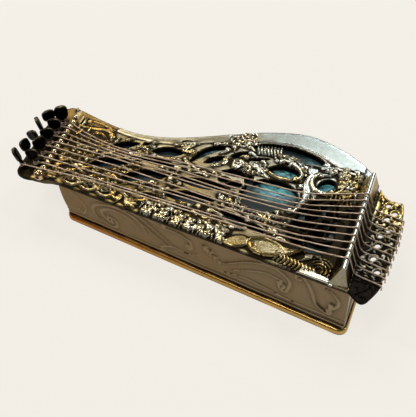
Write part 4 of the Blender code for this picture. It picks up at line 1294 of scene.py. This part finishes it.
def build_top():
    rng = random.Random(11)
    top = Relief((-25.0, -3.4), (102.4, 64.4), 0.25)
    outline = np.vstack([straight((0, 0), (101.1, 0), 2), [(101.1, 0.0)],
                         smooth(BACK_CORNER + shift_line(BACK_EDGE, 0.9).tolist()
                                + HEAD_EDGE, 4)])
    outer = top.distance(outline)[1]
    top.edge = np.minimum(top.edge, outer)
    holes = ([arc_opening(*shape) for shape in ARC_OPENINGS]
             + [smooth(shape, 4, closed=True) for shape in FREE_OPENINGS]
             + [oval(*shape) for shape in OVAL_OPENINGS + SMALL_GAPS])
    for hole in holes:
        top.cut(hole)

    band = np.vstack([smooth(BACK_CORNER + shift_line(BACK_EDGE, 0.9).tolist()
                             + [(1.0, 36.2)], 4), smooth(BAND_INNER[::-1], 4)])
    in_band = top.distance(band)[1]
    # gold at the head and the front, silver towards the back and the bridge
    x, y = top.x, top.y
    top.tone[:] = np.clip(0.34 + 0.0042 * (x - 20) + 0.008 * (y - 18), 0.16, 0.85)
    top.tone[(x < 2) & (y > 22)] = 0.06
    np.copyto(top.tone, 0.58 + 0.42 * clip01((x - 34) / 26), where=in_band > 0)

    # the edge of every opening lies in shadow
    top.wear_and_shade_cap[(top.edge < 0.5) & (outer > 1.2) & (in_band < -0.3)] = 0.40

    raise_back_edge(top)
    raise_comb(top)
    raise_windows(top)
    raise_roses(top)
    raise_bead_rows(top)
    raise_tracery(top)
    raise_front_right(top)
    raise_front_border(top, rng)
    raise_head(top)

    # ovals that the seeded ground keeps clear of: centre and half axes
    quiet = [(-12, 35, 13, 4.6), (71, 4.6, 12, 5.0), (-21, 20, 4.4, 22), (72.6, 42, 2.4, 6),
             (73.6, 29, 2.2, 9)]
    free = (top.edge > 0.7) & (in_band < -0.9)
    flowing_ground(top, (-13.0, 92.0, 2.0, 52.0), 3.0, free, rng, quiet)

    # flat places: the band, the seats of bridge and tail plate, the peg field
    plain = clip01(in_band / 0.35)
    crossing = np.hypot((x - 43.6) / 4.8, (y - 50.6) / 5.2) < 1
    crossing |= np.hypot((x - 28.4) / 3.4, (y - 38.2) / 2.6) < 1
    plain = np.where(crossing, 0.0, plain)
    top.height = top.height * (1 - plain) + 0.30 * plain
    along = past_bridge(x, y)
    top.height[along > -BRIDGE_HALF - 0.15] = 0.0
    pegs_here = clip01((-10.2 - 0.24 * (y - 2) - x) / 0.8) * (y < 35.5)
    top.height *= 1 - pegs_here
    near_nut = np.abs((x - NUT_FRONT[0]) * nut_run[1] - (y - NUT_FRONT[1]) * nut_run[0]) < 1.9
    top.height[near_nut] = np.minimum(top.height[near_nut], 0.06)
    # painted shade of the pegs: the peg field is darkened, fading out towards its back end
    top.wear_and_shade_cap *= 1 - 0.80 * pegs_here * (1 - clip01((y - 28.0) / 5.0))
    # painted shade: the plain band is darker towards the head, where it catches less of the key
    # light
    top.wear_and_shade_cap *= 1 - 0.20 * plain * clip01((50.0 - x) / 14.0)
    # painted shade of the strings: a strip under them is darkened towards the head
    beneath = clip01((30.0 - y) / 4.0) * clip01((y - 4.0) / 3.0)
    top.wear_and_shade_cap *= 1 - 0.14 * beneath * clip01((58.0 - x) / 12.0)
    beyond = along > BRIDGE_HALF
    top.wear_and_shade_cap[beyond] = 0.35
    top.tone[beyond] = 0.2
    # painted shade: an oval of the plate beside the bridge, under the strings, is darkened
    shade = clip01(1.25 - np.hypot((x - 86.0) / 11.5, (y - 20.5) / 15.5))
    top.wear_and_shade_cap *= 1 - 0.72 * clip01(2.0 * shade)
    # painted shade: the plate is darker along its outer edge, where it rounds over
    top.wear_and_shade_cap *= 0.45 + 0.55 * clip01((outer - 0.25) / 0.5)
    for number in range(len(PEGS)):
        top.cut(peg_slot(number))
    top.hole &= ~((x < -8) & (outer > 1.0))
    piece = relief_plate("top_plate_relief", top, PLATE_TOP, PLATE_LOW, SHELL_TOP + 0.15, ornate)
    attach(piece, "box")
    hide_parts("top_plate")


def build_tail():
    tail = Relief((93.6, -4.0), (108.8, 47.6), 0.2)
    outline = np.vstack([[(100.4, -0.6)], smooth(TAIL_EDGE, 6)])
    tail.edge = np.minimum(tail.edge, tail.distance(outline)[1])
    # scallops of the outer edge, between the strings
    for k in range(len(PEGS)):
        y = string_y(k / (len(PEGS) - 1) + 0.05)
        tail.cut(oval((tail_edge(y) + 0.35, y + 1.5), 0.95, 0.65, 70.0, 18))
    for hole in TAIL_HOLES:
        ring = oval(hole, 1.2, 0.8, 70.0, 24)
        tail.cut(ring)
        tail.stroke(shift_line(np.vstack([ring, ring[:1]]), 0.35), [0.42], [0.5])
    x, y = tail.x, tail.y
    tail.tone[:] = np.clip(0.62 - 0.014 * (y - 14), 0.25, 0.62)
    for at, size, petals in (((101.2, 41.0), 1.3, 5), ((99.4, 36.0), 1.3, 5),
                             ((104.2, 32.4), 1.3, 6)):
        tail.flower(at, size, petals, 0.9, tone=0.3)
    flowing_ground(tail, (96.0, 107.6, -2.0, 45.0), 2.2, tail.edge > 0.5, random.Random(23),
                   size=0.7)
    tail.stroke(shift_line(smooth(TAIL_EDGE, 6), -0.45), [0.4], [0.35], tone=0.25)
    tail.wear_and_shade_cap *= 0.6 + 0.4 * clip01((y - 4.0) / 4.0)
    tail.wear_and_shade_cap *= 0.47 + 0.48 * clip01((y - 26.0) / 10.0)
    tail.height[past_bridge(x, y) < BRIDGE_HALF + 0.2] = 0.0
    tail.height = np.minimum(tail.height, 0.75) * 0.7
    piece = relief_plate("tail_plate_relief", tail, TAIL_TOP - 0.53, TAIL_LOW, TAIL_LOW,
                         tail_metal, (0.3, 0.25))
    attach(piece, "box")
    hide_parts("tail_plate")


# ---------------------------------------------------------------- side wall and rim
WALL_STEP = 0.3
SIDE_COUNTS = (334, 158, 430, 120)


def resample(path, count):
    run = np.concatenate([[0], np.cumsum(np.linalg.norm(np.diff(path, axis=0), axis=1))])
    at = np.linspace(0, run[-1], count, endpoint=False)
    return np.stack([np.interp(at, run, path[:, 0]), np.interp(at, run, path[:, 1])], 1)


def wall_ring(front_left, front_right, back_right, back_left):
    back = smooth([back_right] + BACK_EDGE + [back_left], 5)
    sides = (np.array([front_left, front_right]), np.array([front_right, back_right]), back,
             np.array([back_left, front_left]))
    return np.vstack([resample(side, n) for side, n in zip(sides, SIDE_COUNTS)])


def eased(ring, reach):
    """Ring with its corners rounded over a few samples."""
    result = np.zeros_like(ring)
    for k in range(-reach, reach + 1):
        result += np.roll(ring, k, axis=0)
    return result / (2 * reach + 1)


def outward(ring, distance):
    """Ring moved outwards by a distance that may change along it."""
    run = np.roll(ring, -1, 0) - np.roll(ring, 1, 0)
    run /= np.linalg.norm(run, axis=1)[:, None]
    return ring + np.stack([run[:, 1], -run[:, 0]], 1) * np.asarray(distance).reshape(-1, 1)


FOOT_RING = wall_ring((1.6, 1.6), FOOT_CORNER, (97.0, 43.5), (-5.4, 35.3))
WAIST_RING = wall_ring((0.6, 1.1), (101.4, -0.9), (96.7, 43.4), (-5.2, 35.2))
TOP_RING = wall_ring((-0.9, 0.8), (101.0, 0.5), (96.2, 43.2), (-7.0, 35.6))


def wall_line(z):
    """Outline of the plain wall at a height."""
    if z < WAIST:
        share = clip01((z - WALL_SPRING) / (WAIST - WALL_SPRING))
        ring = FOOT_RING + (WAIST_RING - FOOT_RING) * share
    else:
        share = 1 - (1 - (z - WAIST) / (WALL_TOP - WAIST)) ** 2
        ring = WAIST_RING + (TOP_RING - WAIST_RING) * share
    return eased(ring, 2)


# Front face, along the wall and up it: an oval of nested curves, crossing stems and two long
# scrolls. Points, widths, rise and the curls at both ends
WALL_SCROLLS = [
    ([(33.0, 7.4), (30.0, 12.4), (22.0, 13.6), (14.4, 11.4), (13.0, 7.0), (18.6, 4.4)],
     [0.3, 0.62, 0.3], 0.36, None, (2.6, 1.2, 1)),
    ([(30.2, 7.6), (26.8, 11.4), (20.6, 12.0), (16.4, 9.6), (17.4, 7.0)],
     [0.3, 0.62, 0.3], 0.3, None, (1.6, 1.0, 1)),
    ([(40.6, 12.6), (44.4, 12.9), (49.0, 11.6), (50.0, 9.4)], [0.25, 0.5, 0.35], 0.34,
     (0.8, 1.0, -1), (1.2, 1.1, -1)),
    ([(38.4, 4.6), (43.0, 6.4), (48.0, 6.0), (52.6, 7.4)], [0.2, 0.42, 0.2], 0.26,
     (1.0, 1.1, 1), None),
    ([(60.4, 7.8), (64.4, 9.6), (69.0, 12.0), (74.0, 13.4), (79.0, 13.2), (82.4, 10.6),
      (82.0, 7.6)], [0.25, 0.6, 0.4], 0.38, None, (1.7, 1.2, -1)),
    ([(63.0, 6.2), (68.6, 8.6), (74.6, 10.4), (79.4, 10.0)], [0.2, 0.45, 0.2], 0.28, None,
     (1.0, 1.1, -1)),
    ([(86.0, 14.2), (87.8, 12.6), (89.4, 9.8), (91.0, 6.6), (94.4, 5.0)], [0.3, 0.62, 0.3],
     0.4, (1.4, 1.0, 1), (1.1, 1.0, 1)),
    ([(92.6, 13.4), (95.6, 12.2), (97.6, 9.6), (96.4, 7.4)], [0.25, 0.55, 0.35], 0.38, None,
     (0.9, 1.1, -1)),
    ([(5.0, 13.4), (8.4, 11.0), (9.6, 7.6), (7.6, 5.0)], [0.2, 0.42, 0.25], 0.26, None,
     (1.2, 1.1, -1))]
WALL_STEMS = [([(21.4, 14.4), (28.0, 12.8), (34.0, 9.6), (40.0, 5.8)], [0.25, 0.5, 0.3], 0.34),
              ([(24.6, 14.6), (30.6, 13.6), (36.4, 10.6), (42.0, 6.8)], [0.25, 0.5, 0.3], 0.34),
              ([(30.0, 14.6), (36.0, 13.6), (41.0, 12.2)], [0.2, 0.4, 0.2], 0.26),
              ([(60.0, 4.6), (68.0, 5.6), (76.0, 5.0), (84.0, 4.2)], [0.15, 0.4, 0.15], 0.22)]
# The running scroll of the hidden sides: along from its start, up from the middle of the wall
RUNNING_SCROLL = [(0.0, -3.4), (3.2, -0.8), (7.0, 2.6), (10.8, 2.2), (12.2, -0.6)]
RUNNING_LEAF = [(4.6, -3.0), (7.4, -2.8), (10.0, -3.6)]
RUNNING_PITCH = 13.6
RELIEF_SEAT = 0.12        # the ground of the relief lies this far inside the plain wall


def build_wall():
    total = sum(SIDE_COUNTS)
    wall = Relief((0.0, 0.0), ((total - 1) * WALL_STEP, WALL_TOP), WALL_STEP)
    for points, width, rise, first, last in WALL_SCROLLS:
        wall.scroll(points, width, [rise], (first, last))
    for points, width, rise in WALL_STEMS:
        wall.stroke(smooth(points, 8), width, [rise])
    wall.leaf([(53.8, 11.6), (56.6, 9.8), (59.8, 7.4)], 2.2, 5, 0.42)
    wall.bead((55.2, 10.6), 0.95, 0.48)

    # the hidden sides repeat the same kind of running scroll
    at, flip = 104.5, 1
    while at < total * WALL_STEP - 9.0:
        scroll, leaf = ([(at + along, 8.6 + up * flip) for along, up in points]
                        for points in (RUNNING_SCROLL, RUNNING_LEAF))
        wall.scroll(scroll, [0.25, 0.58, 0.4], [0.36], ((1.3, 1.1, flip), (1.8, 1.2, -flip)))
        wall.leaf(leaf, 1.6, 4, 0.32)
        at, flip = at + RUNNING_PITCH, -flip
    # two fine lines above the rim and one below the plate
    for z, r, h in ((2.95, 0.42, 0.30), (4.15, 0.24, 0.16), (14.35, 0.3, 0.14)):
        wall.stroke([(0.0, z), ((total - 1) * WALL_STEP, z)], [r], [h])

    zs = np.concatenate([[0.0, 1.2, 2.0], np.arange(WALL_SPRING, WALL_TOP, WALL_STEP),
                         [WALL_TOP]])
    # rough casting skin and shallow dents: seed, size and depth
    for seed, size, depth in ((3, 0.9, 0.035), (4, 2.2, 0.16)):
        bumps = wall.blurred(np.random.default_rng(seed).normal(0, 1, wall.height.shape), size)
        wall.height += depth * bumps / np.abs(bumps).max()
    worn, tone_field = wall.worn(0.8, 0.42), wall.blurred(wall.height, 2.0)
    rows, wear_and_shade, tone = [], [], []
    for z in zs:
        column = min(int(round(z / WALL_STEP)), wall.height.shape[1] - 1)
        line = outward(wall_line(z), wall.height[:, column] - RELIEF_SEAT)
        rows.append(np.column_stack([line, np.full(total, z)]))
        wear_and_shade.append(worn[:, column])
        tone.append(clip01(0.05 + 0.005 * line[:, 0] + 1.2 * tone_field[:, column]))
    for z in (WALL_TOP, 0.0):
        rows.append(np.column_stack([outward(wall_line(z), -WALL_THICK), np.full(total, z)]))
        wear_and_shade.append(np.zeros(total))
        tone.append(np.full(total, 0.2))
    piece = make_mesh("wall_relief", np.vstack(rows), [skin(rows, closed=True)], wall_metal,
                      {"worn": np.concatenate(wear_and_shade), "tone": np.concatenate(tone)}, 60)
    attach(piece, "box")
    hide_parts("body_shell")


def build_rim():
    """Rolled gilt edge round the foot, rubbed redder towards the head."""
    profile = smooth([(0.1, 0.0), (0.85, 0.0), (1.05, 0.3), (1.1, 0.85), (1.0, 1.35), (0.75, 1.8),
                      (0.4, 2.0), (0.1, 2.0), (0.02, 1.0)], 3, closed=True)
    rng = np.random.default_rng(9)
    count = len(FOOT_RING)
    ripple = np.convolve(rng.normal(0, 1, count + 12), np.ones(13) / 13, "valid")
    rows, wear_and_shade, tone = [], [], []
    base = eased(FOOT_RING, 3)
    for out, z in profile:
        ring = eased(outward(base, max(out, 0.1)), 5)
        ring = outward(ring, 0.05 * ripple * (out > 0.5))
        rows.append(np.column_stack([ring, np.full(count, z)]))
        wear_and_shade.append(np.full(count, 0.25 + 0.6 * (out > 0.6) * (z > 0.5)) + 0.5 * ripple)
        tone.append(clip01(ring[:, 0] / 110.0 + 0.05))
    piece = make_mesh("rim_moulding", np.vstack(rows), [skin(rows, closed=True)], rim_metal,
                      {"worn": clip01(np.concatenate(wear_and_shade)),
                       "tone": np.concatenate(tone)}, 60)
    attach(piece, "box")
    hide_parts("base_rim")


# ---------------------------------------------------------------- floor and lights
FLOOR_COLOUR = (0.13, 0.126, 0.119)
FLOOR_GLOW = (0.781, 0.753, 0.696)
FLOOR_HALF, FLOOR_CELLS = 1.6, 24      # metres


def build_stage():
    """Pale paper floor that glows a little, so that it stays even."""
    xs = np.linspace(-FLOOR_HALF, FLOOR_HALF, FLOOR_CELLS + 1)
    mesh = bpy.data.meshes.new("floor")
    verts = [(x, y, 0.0) for y in xs for x in xs]
    row = FLOOR_CELLS + 1
    faces = [(k, k + 1, k + row + 1, k + row) for j in range(FLOOR_CELLS)
             for k in range(j * row, j * row + FLOOR_CELLS)]
    mesh.from_pydata(verts, [], faces)
    floor = bpy.data.objects.new("floor", mesh)
    scene.collection.objects.link(floor)
    material, tree, shader, where = start_material("pale_paper_floor", 0.0)
    cloud = noise(tree, where, 6.0, 3.0, 0.5)
    lighter = tuple(c * 1.005 for c in FLOOR_COLOUR)
    colour = ramp(tree, cloud, [(0.3, FLOOR_COLOUR), (0.7, lighter)])
    tree.links.new(colour, shader.inputs["Base Color"])
    shader.inputs["Roughness"].default_value = 1.0
    shader.inputs["Specular IOR Level"].default_value = 0.0
    shader.inputs["Emission Color"].default_value = (*FLOOR_GLOW, 1.0)
    shader.inputs["Emission Strength"].default_value = 1.0
    mesh.materials.append(material)


def softbox(name, azimuth, elevation, distance, size, power, colour):
    """Area light seen from the object at an azimuth (from +Y towards -X) and an elevation."""
    a, e = math.radians(azimuth), math.radians(elevation)
    way = Vector((-math.sin(a) * math.cos(e), math.cos(a) * math.cos(e), math.sin(e)))
    data = bpy.data.lights.new(name, "AREA")
    data.shape = "RECTANGLE"
    data.size, data.size_y = size
    data.energy = power
    data.color = colour
    lamp = bpy.data.objects.new(name, data)
    lamp.location = way * distance + Vector((0.0, 0.0, 0.015))
    lamp.rotation_mode = "QUATERNION"
    lamp.rotation_quaternion = way.to_track_quat("Z", "Y")
    scene.collection.objects.link(lamp)


# Name, azimuth, elevation, distance, size, power and colour
LIGHTS = [("key_softbox", 0.0, 45.0, 0.9, (0.22, 0.26), 2.0, (0.93, 1.0, 1.0)),
          ("warm_softbox", 48.0, 48.0, 0.9, (0.30, 0.25), 2.2, (1.0, 0.90, 0.72)),
          ("front_lamp", 160.0, 62.0, 1.0, (0.25, 0.25), 2.4, (1.0, 0.97, 0.92)),
          ("glint_left", 100.0, 40.0, 0.8, (0.04, 0.10), 1.0, (1.0, 0.98, 0.92)),
          ("glint_right", -70.0, 38.0, 0.8, (0.05, 0.10), 1.3, (1.0, 0.98, 0.94))]

build_stage()
for light in LIGHTS:
    softbox(*light)
studio = bpy.data.worlds.new("studio")
studio.use_nodes = True
background = studio.node_tree.nodes["Background"]
background.inputs["Color"].default_value = (0.10, 0.10, 0.10, 1.0)
background.inputs["Strength"].default_value = 1.0
scene.world = studio

build_wall()
build_rim()
build_top()
build_tail()
build_nut()
build_bridge()
for number in range(len(PEGS)):
    build_peg(number)
    build_wires(number)
